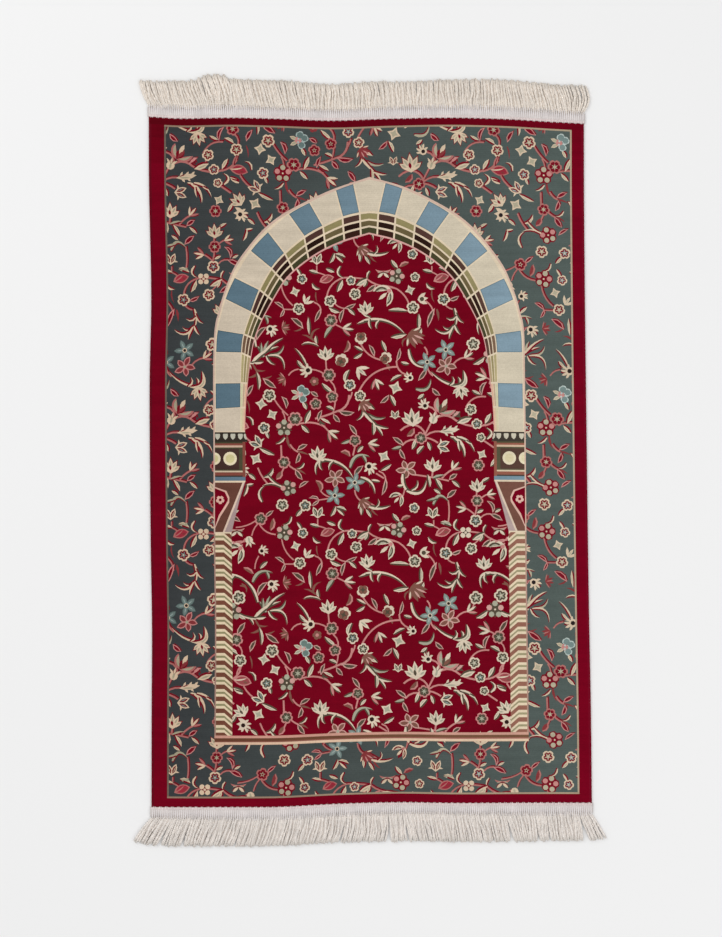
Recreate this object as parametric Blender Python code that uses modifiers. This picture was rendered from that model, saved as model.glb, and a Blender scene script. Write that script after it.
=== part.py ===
"""Prayer rug lying flat: one woven cloth with a cotton fringe trim along each end.

Metres, +Z up. The origin is the middle of the cloth's underside. +Y points to the head
end, where the niche comes to its point, and +X to the right of someone facing that way.
"""

import math

import bmesh
import bpy

MM = 0.001

# Cloth
CLOTH_WIDTH = 700 * MM
CLOTH_LENGTH = 1100 * MM
CLOTH_THICK = 3 * MM
CLOTH_EDGE_ROUND = 0.8 * MM
RIM_ANGLE = math.radians(40)
CLOTH_CELLS_ACROSS = 16
CLOTH_CELLS_ALONG = 24

# Fringe trims
SEAM_GAP = 0.3 * MM
HEADING_DEPTH = 15.5 * MM
HEADING_THICK = 2.6 * MM
STRANDS_PER_END = 128
STRAND_ROOT_WIDTH = 3.4 * MM
STRAND_TIP_WIDTH = 3.1 * MM
STRAND_HEIGHT = 3.4 * MM
STRAND_SECTIONS = (0.3, 0.65, 1.0)

# Unevenness from strand to strand: how far, and how quickly in radians a strand
SWAY_RIPPLE = 0.9 * MM
SWAY_TURN = 0.55
BUNCH_TURN = 0.21
LENGTH_RIPPLE = 1.6 * MM
LENGTH_TURN = 1.9

# Dyed yarns: red, green and blue from 0 to 255
CRIMSON = (112, 5, 26)
COTTON_CREAM = (206, 196, 186)
PILE_ROUGHNESS = 0.9
COTTON_ROUGHNESS = 0.85

# How far each selvedge lies to the right of its straight line, down the length.
SELVEDGES = (
    # share from the head, left mm, right mm
    (0.00, -3.0, -7.2),
    (0.10, -2.6, -7.0),
    (0.26, 0.9, -5.5),
    (0.39, -1.6, -3.8),
    (0.62, 0.1, -0.6),
    (0.74, 2.2, 1.5),
    (0.86, 1.6, 4.0),
    (1.00, 1.4, 5.6),
)

# How far each end of the cloth lies beyond its straight line towards the head, across.
ENDS = (
    # share from the left, head mm, foot mm
    (0.00, 2.2, -1.6),
    (0.07, -0.8, -2.0),
    (0.19, 0.4, -2.0),
    (0.29, -1.2, -1.6),
    (0.42, -4.2, 3.2),
    (0.56, -1.2, 5.8),
    (0.69, 0.4, 4.6),
    (0.82, -1.8, 5.0),
    (0.92, -6.0, 5.2),
    (1.00, -9.0, 5.0),
)

# How the strands lie: the tip's step to the right, the bow on the way, and the length.
HEAD_SWAY = (
    # share from the left, lean mm, bow mm, length mm
    (0.00, -17.0, -3.0, 45.0),
    (0.06, -15.0, -1.0, 46.0),
    (0.13, -15.0, 0.0, 49.0),
    (0.17, -13.5, 1.0, 51.0),
    (0.21, -13.0, 0.0, 47.0),
    (0.32, -11.0, 0.0, 47.0),
    (0.42, -1.0, 1.0, 42.0),
    (0.50, -6.0, 1.5, 44.0),
    (0.62, -1.0, 0.0, 43.0),
    (0.70, -5.0, -1.0, 45.0),
    (0.77, -2.0, 1.0, 46.5),
    (0.89, -10.0, 0.0, 47.0),
    (0.96, -11.5, 2.0, 46.0),
    (1.00, 6.0, 9.0, 45.0),
)
FOOT_SWAY = (
    # share from the left, lean mm, bow mm, length mm
    (0.00, -31.0, -2.0, 49.0),
    (0.03, -26.0, -1.0, 51.0),
    (0.09, -17.0, 0.0, 49.0),
    (0.20, -16.5, 1.0, 49.0),
    (0.32, -12.5, 1.0, 48.0),
    (0.42, -9.5, 2.0, 47.0),
    (0.52, -3.0, 2.0, 46.0),
    (0.58, 9.0, 0.0, 47.0),
    (0.68, 8.5, 0.0, 46.5),
    (0.76, 10.0, 0.0, 47.0),
    (0.82, 12.0, 1.0, 47.0),
    (0.90, 5.5, 0.0, 45.0),
    (0.97, 12.0, 0.0, 46.0),
    (1.00, 27.0, 1.0, 48.0),
)

HEAD_END = 1
FOOT_END = -1


def read_off(table, share, column):
    """A table's column at any share, on a smooth curve through its rows."""
    last = len(table) - 1
    cell = min(sum(share >= row[0] for row in table[1:]), last - 1)

    def slope(index):
        low = table[max(index - 1, 0)]
        high = table[min(index + 1, last)]
        return (high[column] - low[column]) / (high[0] - low[0])

    start, stop = table[cell], table[cell + 1]
    span = stop[0] - start[0]
    t = (share - start[0]) / span
    rise = t * t * (3 - 2 * t)
    value = start[column] * (1 - rise) + stop[column] * rise
    leave = t * (1 - t) ** 2 * slope(cell)
    arrive = t * t * (t - 1) * slope(cell + 1)
    return value + span * (leave + arrive)


def cloth_x(across, down):
    """The x of a point given by its shares across from the left and down from the head."""
    left = -CLOTH_WIDTH / 2 + read_off(SELVEDGES, down, 1) * MM
    right = CLOTH_WIDTH / 2 + read_off(SELVEDGES, down, 2) * MM
    return left + (right - left) * across


def cloth_y(across, down):
    """The y of a point given by its shares across from the left and down from the head."""
    head = CLOTH_LENGTH / 2 + read_off(ENDS, across, 1) * MM
    foot = -CLOTH_LENGTH / 2 + read_off(ENDS, across, 2) * MM
    return head + (foot - head) * down


def linear(channel):
    """A colour channel given from 0 to 255, turned to linear light."""
    value = channel / 255
    return value / 12.92 if value <= 0.04045 else ((value + 0.055) / 1.055) ** 2.4


def make_material(name, colour, roughness):
    """A matt dyed-yarn material."""
    material = bpy.data.materials.new(name)
    material.use_nodes = True
    shader = material.node_tree.nodes["Principled BSDF"]
    shader.inputs["Base Color"].default_value = (*map(linear, colour), 1.0)
    shader.inputs["Roughness"].default_value = roughness
    shader.inputs["Metallic"].default_value = 0.0
    return material


def add_object(name, bm, material, collection):
    """Turn a finished bmesh into a named object of the rug."""
    mesh = bpy.data.meshes.new(name)
    bm.to_mesh(mesh)
    bm.free()
    mesh.materials.append(material)
    obj = bpy.data.objects.new(name, mesh)
    collection.objects.link(obj)
    return obj


def add_cloth(material, collection):
    """The woven cloth: a flat sheet with the rug's own uneven outline."""
    bm = bmesh.new()
    bmesh.ops.create_grid(
        bm, x_segments=CLOTH_CELLS_ACROSS, y_segments=CLOTH_CELLS_ALONG, size=0.5
    )
    for vert in bm.verts:
        across = vert.co.x + 0.5
        down = 0.5 - vert.co.y
        vert.co.x = cloth_x(across, down)
        vert.co.y = cloth_y(across, down)
    cloth = add_object("rug_cloth", bm, material, collection)

    wall = cloth.modifiers.new("thickness", "SOLIDIFY")
    wall.thickness = CLOTH_THICK
    wall.offset = 1.0
    rim = cloth.modifiers.new("rounded_rim", "BEVEL")
    rim.width = CLOTH_EDGE_ROUND
    rim.segments = 2
    rim.limit_method = "ANGLE"
    rim.angle_limit = RIM_ANGLE
    return cloth


def heading_columns():
    """Shares across the width of the heading's ends and of both sides of each strand."""
    half_root = STRAND_ROOT_WIDTH / CLOTH_WIDTH / 2
    shares = [0.0]
    for strand in range(STRANDS_PER_END):
        middle = (strand + 0.5) / STRANDS_PER_END
        shares += [middle - half_root, middle + half_root]
    return shares + [1.0]


def seam_columns():
    """The columns whose verts stay on the seam side, each with its share across."""
    step = 2 * STRANDS_PER_END // CLOTH_CELLS_ACROSS
    kept = {step * cell: cell / CLOTH_CELLS_ACROSS for cell in range(CLOTH_CELLS_ACROSS)}
    kept[2 * STRANDS_PER_END + 1] = 1.0
    return kept


def add_heading(bm, end):
    """A narrow flat tape along one end of the cloth. Returns the faces of the roots."""
    shares = heading_columns()
    kept = seam_columns()
    spans = len(shares) - 1
    bmesh.ops.create_grid(bm, x_segments=spans, y_segments=1, size=0.5)
    outer_side = set(bm.verts)
    roots = []
    for face in bm.faces:
        middle = face.calc_center_median().x + 0.5
        if int(middle * spans) % 2 == 1:
            roots.append((middle, face))
    roots = [face for _, face in sorted(roots, key=lambda pair: pair[0])]
    bmesh.ops.extrude_face_region(bm, geom=bm.faces[:])

    column = {vert: round((vert.co.x + 0.5) * spans) for vert in bm.verts}
    spare = []
    for edge in bm.edges:
        one, other = edge.verts
        crosses = column[one] == column[other]
        if crosses and column[one] not in kept and not outer_side.issuperset(edge.verts):
            spare.append(edge)

    down = 0.0 if end == HEAD_END else 1.0
    for vert in bm.verts:
        is_top = vert.co.y > 0
        is_outer = vert in outer_side
        across = shares[column[vert]] if is_outer else kept.get(column[vert], 0.0)
        reach = SEAM_GAP + (HEADING_DEPTH if is_outer else 0.0)
        vert.co.x = cloth_x(across, down)
        vert.co.y = cloth_y(across, down) + end * reach
        vert.co.z = HEADING_THICK if is_top else 0.0
    bmesh.ops.dissolve_edges(bm, edges=spare, use_verts=True)
    return roots


def strand_path(strand, sway, start, end, share):
    """A strand's middle in plan at a share of its length, and its direction there."""
    across = (strand + 0.5) / STRANDS_PER_END
    ripple = math.sin(SWAY_TURN * strand) * math.cos(BUNCH_TURN * strand + 1)
    lean = read_off(sway, across, 1) * MM + SWAY_RIPPLE * ripple
    bow = read_off(sway, across, 2) * MM
    length = read_off(sway, across, 3) * MM + LENGTH_RIPPLE * math.sin(LENGTH_TURN * strand)
    reach = math.sqrt(length ** 2 - lean ** 2)
    x = start[0] + lean * share + bow * math.sin(math.pi * share)
    y = start[1] + end * reach * share
    run_x = lean + bow * math.pi * math.cos(math.pi * share)
    run = math.hypot(run_x, reach)
    return (x, y), (run_x / run, end * reach / run)


def grow_strands(bm, roots, sway, end):
    """Extrude one four-sided strand out of each root and lay it level on the floor."""
    starts = []
    for face in roots:
        middle = face.calc_center_median()
        starts.append((middle.x, middle.y))
    tips = roots
    for share in STRAND_SECTIONS:
        made = bmesh.ops.extrude_discrete_faces(bm, faces=tips)["faces"]
        tips = sorted(made, key=lambda face: face.calc_center_median().x)
        width = STRAND_ROOT_WIDTH + (STRAND_TIP_WIDTH - STRAND_ROOT_WIDTH) * share
        for strand, face in enumerate(tips):
            old = face.calc_center_median()
            (x, y), (way_x, way_y) = strand_path(strand, sway, starts[strand], end, share)
            for vert in face.verts:
                side = end * math.copysign(width / 2, vert.co.x - old.x)
                vert.co.z = STRAND_HEIGHT if vert.co.z > old.z else 0.0
                vert.co.x = x + way_y * side
                vert.co.y = y - way_x * side


def add_fringe(name, sway, end, material, collection):
    """One trim: the heading tape with its strands, fused at their roots."""
    bm = bmesh.new()
    roots = add_heading(bm, end)
    grow_strands(bm, roots, sway, end)
    bmesh.ops.recalc_face_normals(bm, faces=bm.faces[:])
    return add_object(name, bm, material, collection)


def main():
    """Clear the scene and make the rug's three sewn parts."""
    for obj in list(bpy.data.objects):
        bpy.data.objects.remove(obj)
    rug = bpy.data.collections.new("prayer_rug")
    bpy.context.scene.collection.children.link(rug)

    woven = make_material("woven_pile_crimson", CRIMSON, PILE_ROUGHNESS)
    cotton = make_material("cotton_fringe_cream", COTTON_CREAM, COTTON_ROUGHNESS)
    add_cloth(woven, rug)
    add_fringe("fringe_head", HEAD_SWAY, HEAD_END, cotton, rug)
    add_fringe("fringe_foot", FOOT_SWAY, FOOT_END, cotton, rug)


main()
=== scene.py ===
# %% [markdown]
# # A prayer rug laid flat on a pale floor
# The rug is one machine-woven cloth with a cotton fringe trim sewn along each end. The packed
# model already fixes where the three parts lie. This script gives them their looks: the woven
# design, the tape and the twisted cords of the fringe, the stitching, the floor and the light.

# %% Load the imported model
import math

import bpy
from mathutils.geometry import delaunay_2d_cdt
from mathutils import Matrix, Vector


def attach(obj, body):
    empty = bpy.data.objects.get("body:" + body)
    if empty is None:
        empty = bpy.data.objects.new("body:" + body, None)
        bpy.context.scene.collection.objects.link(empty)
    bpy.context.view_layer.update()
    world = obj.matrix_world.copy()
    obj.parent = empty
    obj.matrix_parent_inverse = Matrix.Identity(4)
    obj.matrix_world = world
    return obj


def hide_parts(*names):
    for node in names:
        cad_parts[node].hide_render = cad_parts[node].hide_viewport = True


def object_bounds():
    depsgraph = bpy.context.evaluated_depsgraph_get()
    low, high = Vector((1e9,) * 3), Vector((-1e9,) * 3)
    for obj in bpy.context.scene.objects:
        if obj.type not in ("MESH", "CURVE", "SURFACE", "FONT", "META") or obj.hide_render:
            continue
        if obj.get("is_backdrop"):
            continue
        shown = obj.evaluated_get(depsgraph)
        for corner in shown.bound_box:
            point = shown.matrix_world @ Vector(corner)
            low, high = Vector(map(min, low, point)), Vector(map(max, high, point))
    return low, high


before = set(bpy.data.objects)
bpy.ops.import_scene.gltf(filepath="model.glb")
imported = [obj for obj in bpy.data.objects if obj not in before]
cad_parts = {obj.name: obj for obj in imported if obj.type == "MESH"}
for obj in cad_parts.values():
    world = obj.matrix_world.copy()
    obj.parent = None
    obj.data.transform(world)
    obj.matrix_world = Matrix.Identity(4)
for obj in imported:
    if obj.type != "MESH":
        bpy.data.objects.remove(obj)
cad_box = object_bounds()
print("packed nodes:", sorted(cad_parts))

# %% [markdown]
# ## The loom's squares
# A weaver's design is charted on squared paper. Here one square is 1.6 mm, x counts to the right
# and y counts down, away from the head end, where the niche comes to its point. The real cloth is
# not quite square: its selvedges wander and its ends bow. So every chart point goes through
# `place`, which bends the squares with the cloth, by the same tables that shaped its solid. A
# selvedge moves the points of its row, and the bow of an end fades out towards the other end.

# %% The cloth's own uneven outline
MM = 0.001
SQUARE = 1.6 * MM
CLOTH_WIDTH = 700 * MM
CLOTH_LENGTH = 1100 * MM
CLOTH_THICK = 3 * MM
CLOTH_LEFT, CLOTH_RIGHT = 150.75, 588.25
CLOTH_HEAD, CLOTH_FOOT = 118.25, 805.75

SELVEDGES = (
    # share from the head, left mm, right mm
    (0.00, -3.0, -7.2),
    (0.10, -2.6, -7.0),
    (0.26, 0.9, -5.5),
    (0.39, -1.6, -3.8),
    (0.62, 0.1, -0.6),
    (0.74, 2.2, 1.5),
    (0.86, 1.6, 4.0),
    (1.00, 1.4, 5.6),
)
ENDS = (
    # share from the left, head mm, foot mm
    (0.00, 2.2, -1.6),
    (0.07, -0.8, -2.0),
    (0.19, 0.4, -2.0),
    (0.29, -1.2, -1.6),
    (0.42, -4.2, 3.2),
    (0.56, -1.2, 5.8),
    (0.69, 0.4, 4.6),
    (0.82, -1.8, 5.0),
    (0.92, -6.0, 5.2),
    (1.00, -9.0, 5.0),
)
print("cloth in squares:", CLOTH_RIGHT - CLOTH_LEFT, "by", CLOTH_FOOT - CLOTH_HEAD)

# %% From loom squares to the cloth
def read_off(table, share, column):
    """A table's column at any share, on a smooth curve through its rows."""
    last = len(table) - 1
    cell = min(sum(share >= row[0] for row in table[1:]), last - 1)

    def slope(index):
        low = table[max(index - 1, 0)]
        high = table[min(index + 1, last)]
        return (high[column] - low[column]) / (high[0] - low[0])

    start, stop = table[cell], table[cell + 1]
    span = stop[0] - start[0]
    t = (share - start[0]) / span
    rise = t * t * (3 - 2 * t)
    value = start[column] * (1 - rise) + stop[column] * rise
    leave = t * (1 - t) ** 2 * slope(cell)
    arrive = t * t * (t - 1) * slope(cell + 1)
    return value + span * (leave + arrive)


def cloth_x(across, down):
    """The x in metres at shares across from the left and down from the head."""
    left = -CLOTH_WIDTH / 2 + read_off(SELVEDGES, down, 1) * MM
    right = CLOTH_WIDTH / 2 + read_off(SELVEDGES, down, 2) * MM
    return left + (right - left) * across


def cloth_y(across, down):
    """The y in metres at shares across from the left and down from the head."""
    bow = read_off(ENDS, across, 1) * (1 - down) ** 2 + read_off(ENDS, across, 2) * down ** 2
    return CLOTH_LENGTH * (0.5 - down) + bow * MM


def place(x, y):
    """A point of the chart, in squares, on the real cloth, in metres."""
    across = (x - CLOTH_LEFT) / (CLOTH_RIGHT - CLOTH_LEFT)
    down = (y - CLOTH_HEAD) / (CLOTH_FOOT - CLOTH_HEAD)
    return cloth_x(across, down), cloth_y(across, down)


print("cloth corners:", place(CLOTH_LEFT, CLOTH_HEAD), place(CLOTH_RIGHT, CLOTH_FOOT))

# %% [markdown]
# ## The dyed yarns
# A jacquard loom carries a handful of coloured yarns and brings up the one that the chart asks
# for. So each colour here is one yarn, not a paint, save for the painted shade at the head end.
# The field and the border show the same vines in different yarns. Most yarns look a little darker
# on the left, so each is given by two colours, one for each selvedge: the difference is painted
# sheen, as the pile of the right half catches more light. Colours are sRGB hex values, turned to
# linear by one function.

# %% Yarn colours
# Each yarn: its colour at the left selvedge, then at the right, lighter there by painted sheen
FIELD = {
    "ground": ("#70051a", "#70051a"),
    "line": ("#d3c1ab", "#d8c9b3"),
    "stem": ("#bd7e7a", "#c38983"),
    "sage": ("#a09f8a", "#a9a894"),
    "shade": ("#4f4638", "#554c3e"),
    "blush": ("#c4958c", "#cba097"),
    "blue": ("#76857f", "#8d9b94"),
    "pale": ("#a9b5ae", "#b9c4bc"),
    "teal": ("#60736d", "#74867f"),
    "eye": ("#2f1f1c", "#2f1f1c"),
    "brown": ("#7c5347", "#7c5347"),
    "rose": ("#96494c", "#96494c"),
    "halo": ("#70051a", "#70051a"),
}
BORDER = {
    "ground": ("#37393b", "#545f5b"),
    "line": ("#cbb297", "#d3bfa5"),
    "stem": ("#a66460", "#ae706a"),
    "sage": ("#9c947c", "#b2aa92"),
    "shade": ("#6f0c1c", "#781424"),
    "blush": ("#bb7c78", "#c08680"),
    "blue": ("#62706c", "#96a59f"),
    "pale": ("#8f9f9b", "#b9c5bf"),
    "teal": ("#50615e", "#788b88"),
    "eye": ("#2a2222", "#2a2222"),
    "brown": ("#7f3235", "#84383a"),
    "rose": ("#962c3a", "#962c3a"),
    "halo": ("#6b0d1c", "#761524"),
}
CRIMSON = ("#70041a", "#74041c")
# Painted shade: a darker crimson along the head end, then three steps of it fading down the sides
CRIMSON_HEAD_PAINTED_SHADE = ("#560511", "#6a0518")
CRIMSON_HEAD_SHADE_FADE = (("#600414", "#6d0519"), ("#670416", "#70041a"), ("#6c0418", "#72041b"))
SELVEDGE = ("#5f0c1b", "#720d22")
BLUE = ("#48606d", "#8aa2b0")
BLUE_EDGE = ("#3c525b", "#758b95")
BEIGE = ("#c6b7a4", "#d2c8b1")
CREAM = ("#d8c3a8", "#dfcfb4")
OUTLINE = ("#c2a698", "#d6b9a6")
GUARD = ("#655b50", "#b3a088")
GUARD_ENDS = ("#8a7362", "#ab9980")


def linear(hex_colour):
    """An sRGB hex colour as linear red, green and blue."""
    channels = [int(hex_colour[i:i + 2], 16) / 255 for i in (1, 3, 5)]
    return [c / 12.92 if c <= 0.04045 else ((c + 0.055) / 1.055) ** 2.4 for c in channels]


print("yarns in the field and the border:", len(FIELD), len(BORDER))

# %% [markdown]
# ## One repeat of the vine, charted
# The whole ground is one vine pattern that repeats about every 262 squares across and 255 down.
# It was read flower by flower, and set down as strokes and blooms, as a pattern drawer
# does. A stroke is a stem, leaf or curl from one point to another with a bulge to its left. A
# bloom is a flower with a middle, a direction and a size. Each kind has its own list. An image
# would be simpler, but a chart keeps each petal a clean shape, and it serves both yarn sets.

# %% Strokes of the repeat, kind by kind in weaving order
# from x, from y, to x, to y, bulge, width
STROKES = {
    "tendril": (
        (317, 545, 319, 556, -1, 1.8), (337, 507, 341, 513, 0, 2.4), (371, 507, 378.5, 515, -1, 2.6),
        (368, 477, 370, 487, 1, 2), (434, 543, 437, 556, -1.5, 2), (240, 585, 246, 592, 3.5, 2.6),
        (304, 581, 295, 584.5, 1, 2.4), (313, 592, 321.5, 581, 3, 3), (316, 594, 303.5, 588, -1.5, 3),
        (254, 617, 263, 632, 0, 2.6), (258, 624, 268, 624.5, -1, 2.4), (260, 628, 250, 632, 1, 3.2),
        (266, 633, 275, 629.5, -0.5, 2.4), (390, 617, 392.5, 624, 0, 4.4),
        (408, 591, 405.5, 600, -2, 2.6), (439, 562, 441, 574, 0.5, 3.4), (504, 580, 509, 589, 2, 2.6),
        (250, 655, 252, 668, 1, 2), (290, 690, 294, 703, -1, 3.4), (301, 705, 312, 708.5, 0.5, 2.6),
        (300, 723, 309, 728, 0.5, 2.6),
    ),
    "stem": (
        (321, 490, 330, 496, -1, 1.8), (258, 467, 268, 483, -1, 2.2), (256, 520, 236, 527, 1.5, 1.8),
        (258, 523, 252, 535, -1, 1.8), (259, 522, 276, 533.5, -3, 2), (245, 541, 233, 543, -1.2, 2),
        (259, 555, 255, 568, -1, 1.8), (282, 538, 294, 559, -2.5, 1.9), (318, 518, 318, 525, 0, 1.8),
        (318, 525, 329, 529, 0.5, 1.8), (319, 499, 332, 497, 0, 1.8), (284, 563, 295, 563, 0, 1.8),
        (315, 555, 322, 566, 3, 2), (355, 489, 361, 500, -1.5, 2), (360, 499, 377, 507, 1.5, 1.8),
        (379, 470, 386, 480, 2.5, 2), (405, 488, 402, 497, 0.5, 1.9), (343, 530, 369, 532, 0.8, 2.2),
        (369, 532, 383, 538.5, -1, 2.2), (383, 538.5, 399, 542, 1, 2.2), (399, 542, 412, 561, 2.5, 2.2),
        (345, 530, 328, 549, -4, 2.2), (366, 536, 359, 541, 0, 1.8), (384, 543, 396, 541, 2, 2),
        (336, 556, 346, 561, -1, 1.8), (448.5, 499, 448.5, 521, 1, 2), (434, 519, 434, 524, 0, 1.8),
        (434, 525, 442, 530, 0.5, 1.8), (460, 530, 484, 532, 0.8, 2.2), (484, 532, 500, 540, -1.2, 2.2),
        (500, 540, 508, 535, -1.5, 2.2), (461, 530.5, 446, 547, -4, 2.2), (480, 537, 474, 543, 0, 1.8),
        (505, 541, 502, 545, 0, 2), (428, 554, 436, 568, 2, 2), (447, 557, 455, 562, -1, 2),
        (467, 507, 476, 514, 0.5, 2), (477, 489, 477, 494, 0, 2), (481, 497, 490, 492, 1, 2),
        (477, 504, 475, 514, 0.5, 2.2), (481, 516, 491, 512, 1.5, 2), (291, 629, 301, 622.5, 1.5, 2),
        (314, 622.5, 327, 627, 1, 2), (337, 577, 345, 581, 0, 2), (328, 612, 329, 623, 0, 2),
        (363, 597, 383, 613, -3, 2.2), (355, 645, 352, 653, 0.5, 2), (362, 644, 400, 620, 7, 2.4),
        (399, 614, 409, 628, -3, 2.2), (333, 634, 338, 647, 2, 2), (427, 600, 430, 608, 1, 2.2),
        (456, 617, 468, 610, 1.5, 2.2), (472, 609, 474, 602, 0, 2), (430, 620, 436, 629, -1, 2.4),
        (489, 630, 496, 634, 0.5, 2), (500, 641, 504, 652, 2, 2), (469, 660, 489, 649, 4, 2.2),
        (277, 653, 291, 669, -1, 2), (285, 665, 288, 676, 1, 1.8), (303, 677, 328, 680, 2.5, 2.4),
        (244, 685, 255, 697, -1, 2.2), (240, 666, 237, 676, -1, 2), (293, 698, 301, 705.5, -1, 2.2),
        (284, 699, 284.5, 711, 0, 2.4), (291, 718, 299, 723.5, -0.5, 2.2), (287, 721, 284, 728, 0, 2.2),
        (352, 648, 341, 664.5, 3.5, 3), (342, 663.5, 318, 672, 0.5, 2.6), (338, 654, 336, 665, 0.5, 2),
        (322, 676, 332, 685, 0.5, 2.2), (358, 700, 356, 709, 0, 2.2), (379, 727, 387, 732, 0, 2.2),
        (405, 699, 419, 693, 2, 2.4), (403.5, 684, 417, 678, 1.5, 2.6),
        (416, 678, 428.5, 688, 2.5, 2.6), (431, 659.5, 440, 669, 2.5, 2.4),
        (434, 676, 428, 688, 0, 2.4), (438, 672, 456, 671, 3, 2.6), (455, 670.5, 474, 678.5, -1.5, 2.6),
        (473, 678.5, 490, 677, -1, 2.6), (488, 678, 503, 667, -2, 2.4), (502, 668, 504, 660, 0, 2.4),
        (472, 668, 470, 673, 0, 2), (429, 689, 443, 684.5, 1.5, 2.4), (429, 691, 441, 696, 0.8, 2.4),
        (486, 692.5, 497, 700, 0, 2.4), (436, 723, 435, 731, 0, 2.4), (415, 728, 452, 734, 0.5, 2.2),
        (457, 722, 445, 731.5, -1, 2.4),
    ),
    "leaf": (
        (299, 487, 309, 480, 1, 3.8), (265, 517, 274, 509.5, 0.5, 4), (320, 499, 309, 497, -2, 3.4),
        (320, 499, 312, 505, 0, 3.4), (285, 563, 275, 556, -1.5, 3.8), (285, 562, 281, 571, 1, 3.4),
        (322, 561, 316, 575, 0.5, 4.4), (386, 477, 382, 494.5, 1.5, 4.2),
        (378, 537, 368, 544.5, 0.5, 4.8), (345, 561, 357.5, 556, -1, 4),
        (346, 561, 342, 575.5, -1.5, 4.4), (447, 497, 457, 488, 0.5, 5.4),
        (492, 537, 482, 545, 0.5, 4.8), (451, 553, 461.5, 548.5, -1, 4.2),
        (490, 512, 503, 518.5, 0.8, 5), (493, 511, 487, 499, -3.5, 3.8), (258, 595, 268, 581, 2.5, 5),
        (305, 582, 292, 571.5, -1.5, 5.6), (265, 632, 279, 642, -0.5, 5.8),
        (250, 651, 256, 639, 1, 4.8), (313, 645, 321, 650, 0.5, 4.4), (377, 610, 371, 597.5, -1, 4.2),
        (399, 615, 402.5, 601, -1, 3.8), (437, 561, 430, 580.5, -1, 5), (430, 621, 421, 634, 0.5, 5),
        (435, 641, 443.5, 648.5, -1, 4.8), (499, 632, 507.5, 618.5, 0.5, 5.4),
        (490, 634, 485, 648, -3, 4.2), (284, 650, 289, 662.5, 2.5, 4.6), (321, 675, 325, 663, 1, 4.2),
        (300, 704, 310.5, 698, 0.8, 4.8), (302, 706, 298.5, 717, 1.5, 4.6),
        (298, 722.5, 305.5, 733.5, -0.5, 5.2), (341, 663.5, 357.5, 665.5, -2, 5.2),
        (336, 667, 343, 675.5, -0.5, 4.8), (360, 689, 352, 677.5, -0.5, 4.8),
        (357, 730, 366.5, 719, 1, 5.4), (407, 699, 395.5, 690.5, -0.5, 4.8),
        (403, 702, 408.5, 713, -1, 4.6), (392, 648, 383, 656.5, 1, 4.6),
        (455, 671, 463.5, 664.5, 0.8, 4.8), (452, 733, 460.5, 727, 0.5, 4.8),
    ),
    "dark": (
        (316, 479, 321, 491, 3, 4.5), (274, 517, 271, 530, 1, 4.5), (401, 519.5, 411, 515, 1, 3.8),
        (254, 573, 243.5, 566.5, -1, 3.6), (350, 593, 346, 605.5, 3, 4),
        (285.5, 725, 279.5, 733.5, 0.5, 5), (353.5, 710, 343.5, 705, -2.5, 4.2),
        (410, 690, 417.5, 681.5, -1.5, 4.8),
    ),
    "sage": (
        (433.5, 503, 449, 500, 7.5, 4.2), (437, 496.5, 426.5, 499.5, 0, 3.2),
        (252.5, 581, 273, 571.5, 6, 4.2), (267, 571, 269, 578.5, 1, 3.2), (266, 611, 259, 600, -1, 4.2),
        (264, 610, 263, 596.5, 0, 4), (266, 607, 270, 594.5, 1, 4.2), (272, 609, 286, 599, -4, 3.4),
        (333, 579, 326, 591, -1, 5.4), (419, 642.5, 434, 632, -6, 4.2), (353, 694, 344, 697, 0.5, 4.2),
        (371, 668, 389, 671, -3, 3.4), (353, 721, 373, 710, 7, 4.4), (366, 709, 369.5, 717, 1, 3.4),
        (404, 700, 394.5, 702.5, 0, 4.2), (436, 731, 448, 728, 0.8, 3.4),
    ),
    "frond": (
        (284, 487, 262, 485, -3.5, 3), (262, 501, 265, 484.5, 4.5, 3.6), (268, 475, 284, 486, -2, 2.8),
        (292, 516, 283, 524, 3, 2.8), (369, 506, 391, 505, -2.5, 4.6),
        (376, 507, 378.5, 497.5, -2.5, 2.2), (361, 476, 375.5, 493, 4.5, 4),
        (403, 473, 416, 494, -5.5, 5.2), (407, 490, 427, 479, -8, 5.2), (412, 489.5, 418, 479, -3, 3),
        (341.5, 518.5, 345, 530.5, -4.5, 3.2), (371, 523.5, 369, 532, -1.5, 2.8),
        (457, 518, 460, 530, -4.5, 3.4), (486, 523, 484, 532, -1.5, 3), (258, 601, 233, 574, -6, 4),
        (314, 596, 303, 598, -1.5, 3), (313, 596, 321, 599.5, 1, 2.4), (254, 617, 281, 600, 3, 5.4),
        (266, 607, 285, 591.5, 2, 4.2), (270, 609.5, 287, 623.5, 7, 3.2),
        (268, 610, 277.5, 619, -2, 3.2), (256, 618, 239, 613, 1.5, 3.4),
        (250, 617.5, 253.5, 624, 1, 2.8), (309, 618, 296.5, 601, -1.5, 3),
        (411, 602.5, 432, 620.5, -7, 4.4), (372, 571.5, 358.5, 576.5, -0.5, 4.4),
        (366, 573, 408, 588, 7, 4), (371, 572, 373.5, 582, -1.5, 3.4), (381, 573, 378.5, 582, -2, 3.4),
        (372, 570.5, 361, 562, 1.5, 2.8), (457, 561, 457, 581, 2.5, 4), (458, 566, 466.5, 576, -2, 3.4),
        (459, 569, 448.5, 571, 3, 3.4), (457, 578, 445, 579.5, 4, 3.4), (457, 579, 437, 582, 6, 4),
        (456, 579, 451.5, 592, -1, 4), (457, 578, 463, 587.5, -1, 3.6),
        (494, 571.3, 481.5, 587, -8, 4.8), (490, 571.2, 508, 576, 1.5, 4.2),
        (485, 572, 488, 582, -2.5, 3.6), (497, 572, 494, 582, -2.5, 3.6), (460, 639, 433, 624, 3, 3.6),
        (453, 638.5, 455.5, 629, -3, 3.6), (463, 637.5, 461, 629.5, -1.5, 3.8),
        (256, 679, 248.5, 670.5, -3, 3.2), (243, 692.5, 234.5, 689, 0.5, 4),
        (288, 691.5, 278.5, 698, 1.5, 3.2), (307.5, 717, 299, 722.5, 2, 2.8),
        (332, 713, 319, 728.5, -7, 4.8), (328, 713, 357, 733, 5.5, 4),
        (323, 714.5, 325.5, 724, -2, 3.4), (336, 714.5, 332, 724, -2, 3.2),
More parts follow.
